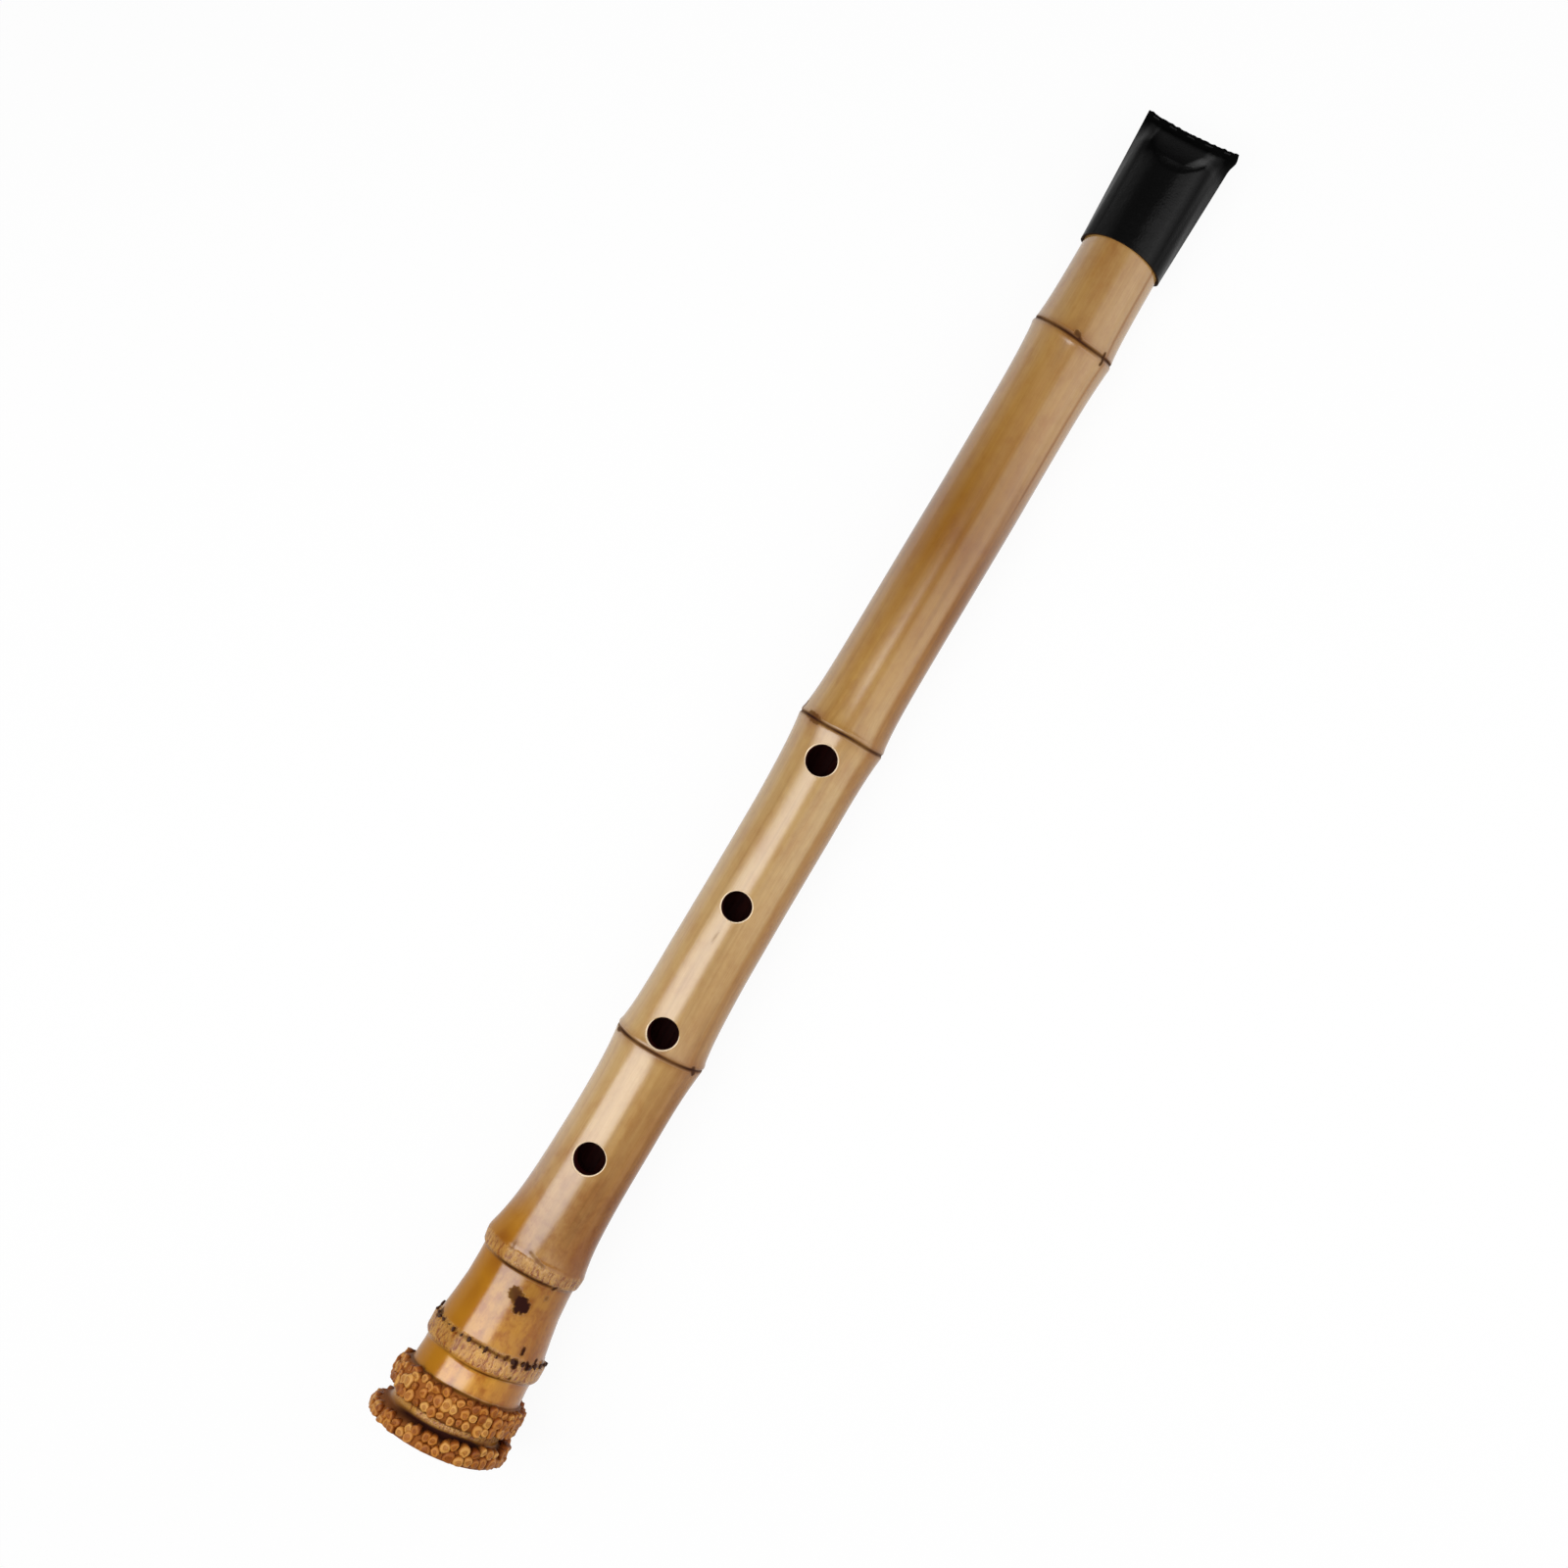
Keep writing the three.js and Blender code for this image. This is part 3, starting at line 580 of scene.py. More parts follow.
# Dark lines round the stalk: place, half width, strength, stain beside it, and where it
# is strongest, as the distance aside from the middle of the picture, with its reach
LINES = [
    (SCARS[0][0], 0.75, 1.2, 0.8, 4, 40), (SCARS[1][0], 0.75, 1.2, 0.6, 0, 40),
    (SCARS[2][0], 0.75, 1.2, 0.8, 0, 40), (71.4, 0.7, 1.2, 0.5, 1, 14),
    (41.8, 0.55, 0.8, 0.4, 1, 12), (33.6, 0.45, 1.1, 0.3, 4, 14), (22.8, 0.7, 0.9, 0.6, 0, 60),
    (7.0, 1.9, 1.8, 0.5, 1, 18), (12.4, 0.7, 0.7, 0.5, 0, 60),
]
# Dark spots: place and aside of both ends, radius, strength
SPOTS = [
    (63.8, 0.2, 62.8, 1.8, 2.6, 0.78), (61.6, 3.8, 60.8, 4.8, 3.0, 1.0),
    (59.6, 3.6, 58.6, 3.4, 1.4, 1.0), (213.8, -2.6, 212.6, -2.7, 0.45, 0.3),
    (71.9, 12.4, 71.0, 12.3, 0.8, 1.0), (67.2, 11.2, 66.6, 11.2, 0.8, 0.45),
    (46.8, 12.7, 45.0, 12.7, 0.9, 1.0), (41.6, 12.3, 40.2, 12.0, 1.3, 1.0),
    (42.0, 16.4, 40.6, 16.0, 1.1, 1.0), (43.8, 18.7, 42.8, 18.5, 0.9, 1.0),
    (42.4, 9.0, 41.6, 8.0, 0.8, 0.8), (34.2, 9.6, 33.9, 9.6, 0.6, 0.9),
    (35.8, 13.2, 35.5, 13.2, 0.7, 0.9), (42.8, -20.5, 41.6, -19.6, 1.3, 0.8),
    (79.8, -2.0, 77.4, 4.5, 0.7, 0.4), (79.8, -8.6, 77.6, -8.2, 0.8, 0.35),
    (469.0, -0.6, 468.6, 0.4, 1.1, 0.75), (467.7, 1.3, 467.3, 1.9, 0.9, 0.9),
    (469.2, 12.2, 465.2, 12.4, 0.75, 0.9),
    (300.6, -13.4, 299.8, -10.2, 1.8, 0.6), (304.0, -16.6, 301.4, -16.6, 0.7, 0.9),
    (166.2, 14.2, 164.6, 15.4, 1.2, 0.85), (165.5, -15.6, 164.8, -17.0, 1.0, 0.8),
    (150.6, -9.5, 150.2, -9.5, 0.45, 0.3),
]
# Brown stains: place, aside, half length, half width, strength
STAINS = [
    (300.0, -11.5, 3.6, 5.5, 1.0), (165.4, 13.0, 4.0, 5.0, 0.8), (165.4, -12.0, 2.5, 5.0, 0.5),
    (467.6, 2.0, 3.5, 6.0, 0.8), (466.6, -10.0, 2.0, 5.0, 0.4), (84.0, 14.0, 9.0, 6.0, 0.7),
    (78.5, -13.5, 4.0, 4.5, 0.8), (70.0, -11.0, 7.0, 4.5, 0.6), (62.5, 4.2, 5.5, 7.0, 0.3),
    (45.0, 15.0, 6.0, 8.0, 0.45), (40.5, -13.0, 6.0, 8.0, 0.5), (55.0, -13.0, 8.0, 3.5, 0.45),
    (19.0, 0.0, 8.0, 60.0, 0.35), (4.0, 0.0, 6.0, 60.0, 0.45),
]
STAIN_REACH = 1.6
SPOT_RAGGEDNESS = 0.18
# Waves that make the spots ragged: turns for each mm along and aside, in radians
SPOT_WAVES = [(1.9, 2.3), (-2.1, 1.7)]
SPOT_EDGE = (0.28, -0.42)
# How the dark lines are worn: what is left of them, how much that varies, first seed, and
# what is left away from where they are strongest
WEAR = (0.78, 0.3, 71, 0.25)
# Raised bands with wrinkles: middle, half width, and how far the wrinkles fade in
BANDS = [(38.5, 4.6), (74.4, 3.4), (10.8, 2.4)]
BAND_FADE = 0.7
# Painted shade in the crevices between the stubs: middle of the ring with the edge of its half
# width, and the edge of the foot ring
RING_MIDDLE = 17.5
RING_EDGE = (5.4, 4.6)
FOOT_EDGE = (7.6, 6.4)
# The materials of the skin's faces. Cut faces lie deeper than this below the skin; they are
# sawn near the mouth and at the root end, and a hole's rim lies this far from its wall
SKIN, WALL, SAWN, RIM = range(4)
CUT_DEPTH = 0.2
SAWN_AT_MOUTH = 14
SAWN_AT_ROOT = 1.0
RIM_SPAN = (0.15, 1.5)
# Edges sharper than these angles stay sharp
SKIN_SHARP = math.radians(34)
LEATHER_SHARP = math.radians(50)


def whole_radius(place):
    """Radius of the stalk or of the root end at a place."""
    if place < FOURTH_NODE:
        return float(np.interp(place, ROOT_PLACES, ROOT_RADII))
    return float(stalk_radius(place))


def spot_shares(place, side, front):
    """How dark each point of the skin is from spots, 0 to 1."""
    angle = np.arctan2(front, side)
    dark = np.zeros(len(place))
    ragged = np.prod([np.sin(a * place + b * side) for a, b in SPOT_WAVES], axis=0)
    for place_a, aside_a, place_b, aside_b, size, strength in SPOTS:
        here = whole_radius(place_a)
        start = picture_angle(aside_a, here)
        run_place = place_b - place_a
        run_round = -(picture_angle(aside_b, here) - start) * here
        length = max(run_place ** 2 + run_round ** 2, 0.01)
        way_place = place - place_a
        way_round = -turn_gap(angle, start) * here
        share = np.clip((way_place * run_place + way_round * run_round) / length, 0, 1)
        gap = np.hypot(way_place - share * run_place, way_round - share * run_round)
        depth = rise(gap - size * (1 + SPOT_RAGGEDNESS * ragged), *SPOT_EDGE)
        dark = np.maximum(dark, strength * depth)
    return dark


def line_shares(place, angle):
    """How dark each point is from the lines round nodes and bands, and its brown stain."""
    moved = place + node_wander(place, angle)
    dark = np.zeros(len(place))
    stain = np.zeros(len(place))
    left, varied, seed, least = WEAR
    for number, (line, half, strength, brown, middle, reach) in enumerate(LINES):
        here = whole_radius(line)
        round_gap = turn_gap(angle, picture_angle(middle, here)) * here
        worn = left + varied * waves(angle, seed + number, WORN_WAVES)
        worn = worn * (least + (1 - least) * np.exp(-(round_gap / reach) ** 4))
        dark = np.maximum(dark, strength * worn * bell((moved - line) / half))
        soft = bell((moved - line) / (half + STAIN_REACH))
        stain = np.maximum(stain, brown * worn * soft)
    for middle, aside, half_length, half_width, strength in STAINS:
        here = whole_radius(middle)
        round_gap = turn_gap(angle, picture_angle(aside, here)) * here
        near = bell((place - middle) / half_length) * bell(round_gap / half_width)
        stain = np.maximum(stain, strength * near)
    return np.clip(dark, 0, 1), np.clip(stain, 0, 1)


def right_side_shade(place, angle):
    """Painted shade on the right side of the flute as it is seen: darker on the right, most by
    the root.
    """
    gap = turn_gap(angle, math.pi / 2 + ROUND_TURN)
    # Low on the flute the whole side is painted darker, farther up a strip by its edge, and
    # toward the mouth only a thin line, the painted dark band between the highlight and the
    # bright edge
    low = rise(place, 250, 140) * rise(gap, 0, 1.1) * (1 - 0.4 * rise(place, 95, 65))
    edge = rise(gap, 0.66, 0.78) * rise(place, 420, 360)
    groove_and_shade_line = bell((gap - 0.93) / 0.05) * rise(place, 380, 410)
    right_shade = np.maximum.reduce([low, 0.65 * edge, 0.6 * groove_and_shade_line])
    # It fades out again at the back
    return right_shade * rise(gap, math.pi, math.pi - 0.9)


def amber_sides(place, angle):
    """The skin by the root that has aged to amber, left and right of the rubbed front."""
    gap = turn_gap(angle, math.pi / 2 + ROUND_TURN)
    left = rise(-gap, 0.44, 0.59) * (1 - 0.6 * rise(-gap, 1.4, 2.6))
    right = 0.4 * rise(gap, 0.5, 0.9)
    return np.maximum(left, right) * rise(place, 106, 76)


def mark_skin(skin):
    """Writes the grain, the dark lines and stains on the skin, and names its cut faces."""
    mesh = skin.data
    points = to_flute(mesh_points(mesh))
    place, side, front = unbend(points)
    angle = np.arctan2(front, side)
    dark, stain = line_shares(place, angle)
    crinkled = np.zeros(len(place))
    for middle, half in BANDS:
        share = rise(np.abs(place - middle), half, half - BAND_FADE)
        crinkled = np.maximum(crinkled, share)
    ring = rise(np.abs(place - RING_MIDDLE), *RING_EDGE)
    foot = rise(place, *FOOT_EDGE)
    store(mesh, "grain", np.stack([place, side, front], axis=-1), "FLOAT_VECTOR")
    for name, values in (
        ("dark", np.maximum(dark, spot_shares(place, side, front))), ("stain", stain),
        ("right_shade", right_side_shade(place, angle)), ("amber", amber_sides(place, angle)),
        ("crevice_shade", np.maximum(ring, foot)), ("crinkled", crinkled),
    ):
        store(mesh, name, values)
    name_faces(mesh, points, place, skin_radius(place, angle) - np.hypot(side, front))
    mesh.shade_smooth()
    mesh.set_sharp_from_angle(angle=SKIN_SHARP)


def name_faces(mesh, points, place, deep):
    """Gives the cut faces their materials, by how deep they lie and how near to a hole."""
    from_wall = np.full(len(place), np.inf)
    for hole, radius in [*HOLES, THUMB_HOLE]:
        aside = points[:, 1] - sideways(hole)
        gap = np.hypot(points[:, 0] - hole, aside) - radius + HOLE_LIP
        from_wall = np.minimum(from_wall, gap)
    for polygon in mesh.polygons:
        corners = list(polygon.vertices)
        polygon.material_index = SKIN
        if deep[corners].max() > CUT_DEPTH:
            here = place[corners[0]]
            end = here > FLUTE_LENGTH - SAWN_AT_MOUTH or here < SAWN_AT_ROOT
            rim = RIM_SPAN[0] < from_wall[corners].max() < RIM_SPAN[1]
            polygon.material_index = SAWN if end else RIM if rim else WALL


# Root stubs
STUB_SIDES = 12
# Profile of a cut-off root: share of its radius, height in its radius, ring number
STUB_PROFILE = [
    (0.2, -0.04, 0.1), (0.32, -0.05, 0.3), (0.42, -0.1, 0.42), (0.54, -0.07, 0.55),
    (0.76, -0.14, 0.8), (0.92, -0.3, 0.95), (1.0, -0.6, 1.15), (1.02, -1.6, 1.6),
]
SAWN_LEVEL = 0.6
# How far a stub strays from its seat: round, along, out and in, and how far its tip leans
ROUND_STRAY = 0.24
ALONG_STRAY = 0.6
OUT_STRAY = (-0.35, 0.2)
LEAN_STRAY = (-0.12, 0.02)
LUMPINESS = 2.2
LUMPS_PER_M = 350.0
# Rows of stubs: name, place, rise to the right, how far out the tips stand, radius, count,
# height share, unevenness, bark (0 shows the cut rings, 1 only bark), seed
STUB_ROWS = [
    ("foot_low", 2.2, 0.0, 27.3, 2.0, 43, 1.15, 0.24, 0.0, 5),
    ("foot_high", 4.9, 1.3, 27.0, 1.95, 42, 1.1, 0.26, 0.0, 6),
    ("ring_low", 15.0, 0.0, 26.0, 1.8, 45, 1.2, 0.28, 0.0, 7),
    ("ring_middle", 18.4, 0.0, 26.1, 1.75, 45, 1.3, 0.32, 0.0, 8),
    ("ring_high", 21.0, 0.0, 25.4, 1.65, 48, 1.05, 0.3, 0.0, 10),
    ("band_buds", 41.5, 0.0, 23.1, 0.55, 38, 1.6, 0.7, 1.0, 9),
]


def stub_mesh():
    """One cut-off root, radius one, standing along +Z, closed below."""
    points = [(0, 0, 0)]
    rings = [0.0]
    for share, height, ring in STUB_PROFILE:
        points += [(share * x, share * y, height) for x, y in circle(STUB_SIDES)]
        rings += [ring] * STUB_SIDES
    faces = []
    for side in range(STUB_SIDES):
        here, beside = 1 + side, 1 + (side + 1) % STUB_SIDES
        faces.append((0, here, beside))
        for _ in STUB_PROFILE[1:]:
            faces.append((here, here + STUB_SIDES, beside + STUB_SIDES, beside))
            here, beside = here + STUB_SIDES, beside + STUB_SIDES
    faces.append(tuple(reversed(range(len(points) - STUB_SIDES, len(points)))))
    stub = new_object("stub", points, faces)
    store(stub.data, "ring", rings)
    return stub


def stub_tree():
    """Geometry nodes that set a cut-off root on every point, each a little different."""
    tree = bpy.data.node_groups.new("root_stubs", "GeometryNodeTree")
    sockets = {}
    for name, kind in (
        ("Geometry", "Geometry"), ("Stub", "Object"), ("Radius", "Float"),
        ("Height share", "Float"), ("Unevenness", "Float"), ("Lumpiness", "Float"),
        ("Seed", "Int"), ("Material", "Material"),
    ):
        sockets[name] = tree.interface.new_socket(
            name=name, in_out="INPUT", socket_type="NodeSocket" + kind).identifier
    tree.interface.new_socket(name="Geometry", in_out="OUTPUT", socket_type="NodeSocketGeometry")
    start = add_node(tree, "NodeGroupInput")
    # One tone for each stub, which its material reads
    points = add_node(tree, "GeometryNodeMeshToPoints", {"Mesh": start["Geometry"]})["Points"]
    tone = add_node(
        tree, "FunctionNodeRandomValue", {"Seed": start["Seed"]}, data_type="FLOAT")["Value"]
    toned = add_node(
        tree, "GeometryNodeStoreNamedAttribute",
        {"Geometry": points, "Name": "tone", "Value": tone}, data_type="FLOAT", domain="POINT")
    # Each stands outward, with its width across the stalk
    outward, along = [
        add_node(
            tree, "GeometryNodeInputNamedAttribute", {"Name": name}, data_type="FLOAT_VECTOR"
        )["Attribute"]
        for name in ("outward", "along")
    ]
    stand = add_node(
        tree, "FunctionNodeAlignRotationToVector", {"Vector": outward}, axis="Z")["Rotation"]
    turned = add_node(
        tree, "FunctionNodeAlignRotationToVector", {"Rotation": stand, "Vector": along},
        axis="X", pivot_axis="Z")["Rotation"]
    stub = add_node(tree, "GeometryNodeObjectInfo", {"Object": start["Stub"]})["Geometry"]
    # Sizes between one minus and one plus the unevenness
    low, high, size_seed = [
        add_node(tree, "ShaderNodeMath", {0: first, 1: second}, operation=operation)[0]
        for operation, first, second in (
            ("SUBTRACT", 1.0, start["Unevenness"]), ("ADD", 1.0, start["Unevenness"]),
            ("ADD", start["Seed"], 17.0))
    ]
    wide = add_node(
        tree, "FunctionNodeRandomValue", {"Min": low, "Max": high, "Seed": size_seed},
        data_type="FLOAT")["Value"]
    sizes = []
    for factor in (start["Radius"], start["Height share"]):
        wide = add_node(tree, "ShaderNodeMath", {0: wide, 1: factor}, operation="MULTIPLY")[0]
        sizes.append(wide)
    scale = add_node(
        tree, "ShaderNodeCombineXYZ", {"X": sizes[1], "Y": sizes[0], "Z": start["Radius"]})
    placed = add_node(tree, "GeometryNodeInstanceOnPoints", {
        "Points": toned["Geometry"], "Instance": stub, "Rotation": turned,
        "Scale": scale["Vector"]})
    real = add_node(
        tree, "GeometryNodeRealizeInstances", {"Geometry": placed["Instances"]})["Geometry"]
    # Lumps that make no two stubs alike
    lumps = add_node(
        tree, "ShaderNodeTexNoise", {"Scale": LUMPS_PER_M, "Detail": 2.0},
        noise_dimensions="3D")["Color"]
    centred = add_node(
        tree, "ShaderNodeVectorMath", {0: lumps, 1: (0.5, 0.5, 0.5)}, operation="SUBTRACT")[0]
    pushed = add_node(
        tree, "ShaderNodeVectorMath", {0: centred, "Scale": start["Lumpiness"]},
        operation="SCALE")[0]
    lumpy = add_node(
        tree, "GeometryNodeSetPosition", {"Geometry": real, "Offset": pushed})["Geometry"]
    dressed = add_node(
        tree, "GeometryNodeSetMaterial", {"Geometry": lumpy, "Material": start["Material"]})
    add_node(tree, "NodeGroupOutput", {"Geometry": dressed["Geometry"]})
    return tree, sockets


def stub_seats(place, rise_right, tip_radius, count, seed):
    """Points for one row of stubs, with the way each looks out and the way of the stalk."""
    draw = random.Random(seed)
    seats, outward, along = [], [], []
    for number in range(count):
        stray = draw.uniform(-ROUND_STRAY, ROUND_STRAY)
        angle = 2 * math.pi * (number + 0.5 + stray) / count
        stray = draw.uniform(-ALONG_STRAY, ALONG_STRAY)
        here = place + stray - rise_right * math.cos(angle)
        radius = tip_radius + draw.uniform(*OUT_STRAY)
        seats.append(stalk_points(here, angle, radius))
        out = (draw.uniform(*LEAN_STRAY), math.cos(angle), math.sin(angle))
        outward.append(LEAN_TURN @ np.array(out))
        along.append(LEAN_TURN @ np.array((1.0, 0, 0)))
    return to_world(np.array(seats)), outward, along


def saw_flush(row):
    """Cuts the stubs off level with the sawn end of the flute."""
    points = to_flute(mesh_points(row.data))
    place, _, _ = unbend(points)
    points[:, 0] += np.maximum(SAWN_LEVEL - place, 0)
    row.data.vertices.foreach_set("co", to_world(points).ravel())
    row.data.update()


def make_stubs(material):
    """The rows of cut-off roots, one mesh for each row."""
    stub = stub_mesh()
    tree, sockets = stub_tree()
    rows = []
    for name, place, lift, tip, radius, count, height, uneven, bark, seed in STUB_ROWS:
        seats, outward, along = stub_seats(place, lift, tip, count, seed)
        row = new_object(name, seats, [])
        store(row.data, "outward", outward, "FLOAT_VECTOR")
        store(row.data, "along", along, "FLOAT_VECTOR")
        modifier = row.modifiers.new("stubs", "NODES")
        modifier.node_group = tree
        for socket, value in (
            ("Stub", stub), ("Radius", radius * MM), ("Height share", height),
            ("Unevenness", uneven), ("Lumpiness", LUMPINESS * MM), ("Seed", seed),
            ("Material", material),
        ):
            modifier[sockets[socket]] = value
        row.data = plain_mesh_of(row)
        saw_flush(row)
        store(row.data, "bark", np.full(len(row.data.vertices), bark))
        row.data.shade_smooth()
        rows.append(row)
    bpy.data.objects.remove(stub)
    return rows


# Leather cap
CAP_SIDES = 96
CAP_RINGS = 90
# Height of the outside and inside of a ply where the two lie flat on each other
PLY_OUT = 1.05
PLY_IN = 0.15
# Creases along the side edges, shallower at the rim and on the left by these shares
CREASE_FROM_EDGE = 3.0
CREASE_WIDTH = 0.8
CREASE_DEPTH = 0.45
CREASE_RIM_SHARE = 0.4
CREASE_LEFT_SHARE = 0.5
# Where the cap begins to close, how fast, and how ragged its top edge is
VISIBLE_CLOSE = 544.3
CLOSING_CURVE = 1.35
TOP_RAGGED = 0.35
# The right corner of the top stands out
CORNER_BULGE = 0.9
CORNER_PLACE = 555.4
CORNER_REACH = 2.4
CORNER_POWER = 6
# Unevenness of the leather: height, features for each mm along and across, seed
DENTS = [(0.3, 0.06, 0.09, 3.7), (0.06, 0.4, 0.4, 9.1)]
# How square the flat plies end, and how near to the top its edge is ragged
FLAT_POWER = 8
RAGGED_POWER = 16
# Ragged top edge: features for each mm, seed
RAGGED_NOISE = (0.8, 5.3)


def cap_point(place, angle, inset, ply, front):
    """A point of one half of the cap: round below, flat plies at the seam.

    In front the leather sinks onto the oblique cut of the blowing edge."""
    share = (place - CAP_RIM) / (CAP_TOP - CAP_RIM)
    radius = CAP_RADIUS - inset
    half = (CAP_RADIUS + (CAP_TOP_HALF - CAP_RADIUS) * share) * radius / CAP_RADIUS
    across = half * math.cos(angle)
    distance = abs(across)
    touch = radius * radius / half
    ear = radius / math.sqrt(max(half * half - radius * radius, 1e-4))
    round_height = math.sqrt(max(radius * radius - distance * distance, 0))
    height = round_height if distance < touch else (half - distance) * ear
    rim_height = math.sqrt(max(MOUTH_RADIUS ** 2 - distance ** 2, 0))
    over_cut = FLUTE_LENGTH - (rim_height - EDGE_HEIGHT) / EDGE_SLOPE
    start = min(over_cut, VISIBLE_CLOSE) if front else VISIBLE_CLOSE
    closed = min(max((place - start) / (CAP_SEAM - start), 0), 1)
    sink = closed ** CLOSING_CURVE
    flat = ply * max(1 - (distance / half) ** FLAT_POWER, 0) ** (1 / FLAT_POWER)
    height += (flat - height) * sink
    crease = bell((half - distance - CREASE_FROM_EDGE) / CREASE_WIDTH)
    depth = CREASE_DEPTH * (CREASE_RIM_SHARE + (1 - CREASE_RIM_SHARE) * share)
    depth *= 1 if across < 0 else CREASE_LEFT_SHARE
    height -= depth * crease * (1 - sink)
    if across < 0:
        corner = bell((place - CORNER_PLACE) / CORNER_REACH)
        across -= CORNER_BULGE * corner * (distance / half) ** CORNER_POWER
    slope = CAP_RIM_SLOPE + (CAP_TOP_SLOPE - CAP_RIM_SLOPE) * share
    lift = CAP_RIM_RISE * (1 - share) ** 2 * math.sin(angle)
    hollow = CAP_TOP_HOLLOW * share ** 2 * math.sin(angle) ** 2
    per_mm, seed = RAGGED_NOISE
    ragged = TOP_RAGGED * noise.noise(Vector((across * per_mm, inset, seed)))
    along = place + slope * across + lift - hollow + ragged * share ** RAGGED_POWER
    for deep, per_along, per_across, seed in DENTS:
        dent = noise.noise(Vector((along * per_along, across * per_across, seed)))
        height += deep * dent * math.sin(angle) * (1 - sink)
    return along, across, max(height, PANEL_GAP / 2)


def gloss_left(place, across):
    """How glossy the leather is: dull where it closes and at its side edges."""
    # It closes later on the right, and the corners stay a little glossy
    closing = rise(place - 8 * rise(-across, 4, 8), 535, 541)
    closing = closing * (1 - 0.3 * rise(-across, 8, 13)) * (1 - 0.75 * rise(across, 11, 14))
    left = 1 - 0.92 * rise(across, 8, 12.5)
    right = 1 - 0.8 * rise(-across, 9.8, 12.6)
    return (1 - 0.98 * closing) * left * right


def make_panel(name, side):
    """One leather panel as a closed shell; side is 1 for the front and -1 for the back."""
    shell = []
    for inset, ply in ((0, PLY_OUT), (LEATHER, PLY_IN)):
        for ring in range(CAP_RINGS):
            place = CAP_RIM + (CAP_TOP - CAP_RIM) * ring / (CAP_RINGS - 1)
            for step in range(CAP_SIDES + 1):
                angle = math.pi * step / CAP_SIDES
                along, across, height = cap_point(place, angle, inset, ply, side > 0)
                shell.append((along, MOUTH_POINT[1] + across, side * height))
    wide = CAP_SIDES + 1
    inner = CAP_RINGS * wide
    last = inner - wide
    # The raw edges of the leather come first, at the rim and along the top
    faces = []
    for a in range(CAP_SIDES):
        faces.append((a + 1, a, inner + a, inner + a + 1))
        b = last + a
        faces.append((b, b + 1, inner + b + 1, inner + b))
    raw = len(faces)
    for ring in range(CAP_RINGS - 1):
        a = ring * wide
        b = a + CAP_SIDES
        faces.append((a, a + wide, inner + a + wide, inner + a))
        faces.append((b + wide, b, inner + b, inner + b + wide))
        for step in range(CAP_SIDES):
            a = ring * wide + step
            b = inner + a
            faces.append((a, a + 1, a + 1 + wide, a + wide))
            faces.append((b + wide, b + 1 + wide, b + 1, b))
    if side < 0:
        faces = [tuple(reversed(face)) for face in faces]
    panel = new_object(name, to_world(shell), faces)
    place, across, front = unbend(to_flute(mesh_points(panel.data)))
    store(panel.data, "grain", np.stack([place, across, front], axis=-1), "FLOAT_VECTOR")
    store(panel.data, "gloss", gloss_left(place, across))
    for polygon in panel.data.polygons[:raw]:
        polygon.material_index = 1
    panel.data.shade_smooth()
    panel.data.set_sharp_from_angle(angle=LEATHER_SHARP)
    return panel


# Materials

# Tone along the stalk, by share of its length: amber at the root, palest round the holes,
# a brown length above
STALK_TONES = [
    (0.045, "#d69e3c"), (0.09, "#c28c2a"), (0.12, "#b2822e"), (0.17, "#a67d46"),
    (0.24, "#bb9962"), (0.5, "#b6955c"), (0.6, "#ac8442"), (0.65, "#a17735"),
    (0.69, "#93641a"), (0.73, "#94661c"), (0.8, "#a87e3e"), (0.87, "#ad874e"),
    (1.0, "#aa844c"),
]
# Patterns of the skin: features for each mm along, aside and out, detail, roughness and
# tints. Streaks lie about 4 mm apart, fibres 0.6 mm, clouds 15 mm, mottling 4 mm, and the
# wrinkles of the raised bands 1 mm
SKIN_PATTERNS = {
    "streaks": (
        (0.008, 0.24, 0.24), 2.0, 0.5,
        [(0.3, "#d8c8ac"), (0.5, "#fbf3e4"), (0.7, "#ffffff")]),
    "fibres": ((0.02, 1.6, 1.6), 3.0, 0.6, [(0.3, "#ded7ca"), (0.65, "#ffffff")]),
    "clouds": (
        (0.05, 0.09, 0.09), 5.0, 0.6,
        [(0.3, "#dcb67e"), (0.48, "#f6eedf"), (0.7, "#ffffff")]),
    "mottling": ((0.2, 0.25, 0.25), 3.0, 0.6, [(0.36, "#c48a48"), (0.56, "#ffffff")]),
    "wrinkles": ((0.35, 0.9, 0.9), 4.0, 0.65, [(0.36, "#b07c3e"), (0.54, "#ffffff")]),
}
# Rings of a cut root from its middle out, as shares of the ring numbers, and the tones of
# single stubs
LAST_RING = 1.6
# From 0.6 on the ramp runs down the stubs' sides, darkened toward the crevices: painted shade
ROOT_RINGS_AND_SHADE = [
    (0.05, "#a67640"), (0.17, "#b3844a"), (0.25, "#98672e"), (0.34, "#c69a5c"),
    (0.52, "#c2985e"), (0.6, "#a57332"), (0.7, "#945f2b"), (1.0, "#7c4a23"),
]
STUB_TONES = [(0.0, "#b88648"), (0.5, "#e6be84"), (1.0, "#fff0cc")]


def new_material(name):
    """A new material, its tree and its surface shader."""
    material = bpy.data.materials.new(name)
    material.use_nodes = True
    return material, material.node_tree, material.node_tree.nodes["Principled BSDF"]


def grain_noise(tree, grain, scale, detail, roughness):
    """Noise along the grain, its scale in features for each mm along, aside and out."""
    stretched = add_node(
        tree, "ShaderNodeVectorMath", {0: grain, 1: scale}, operation="MULTIPLY")[0]
    return add_node(tree, "ShaderNodeTexNoise", {
        "Vector": stretched, "Scale": 1.0, "Detail": detail, "Roughness": roughness})["Fac"]


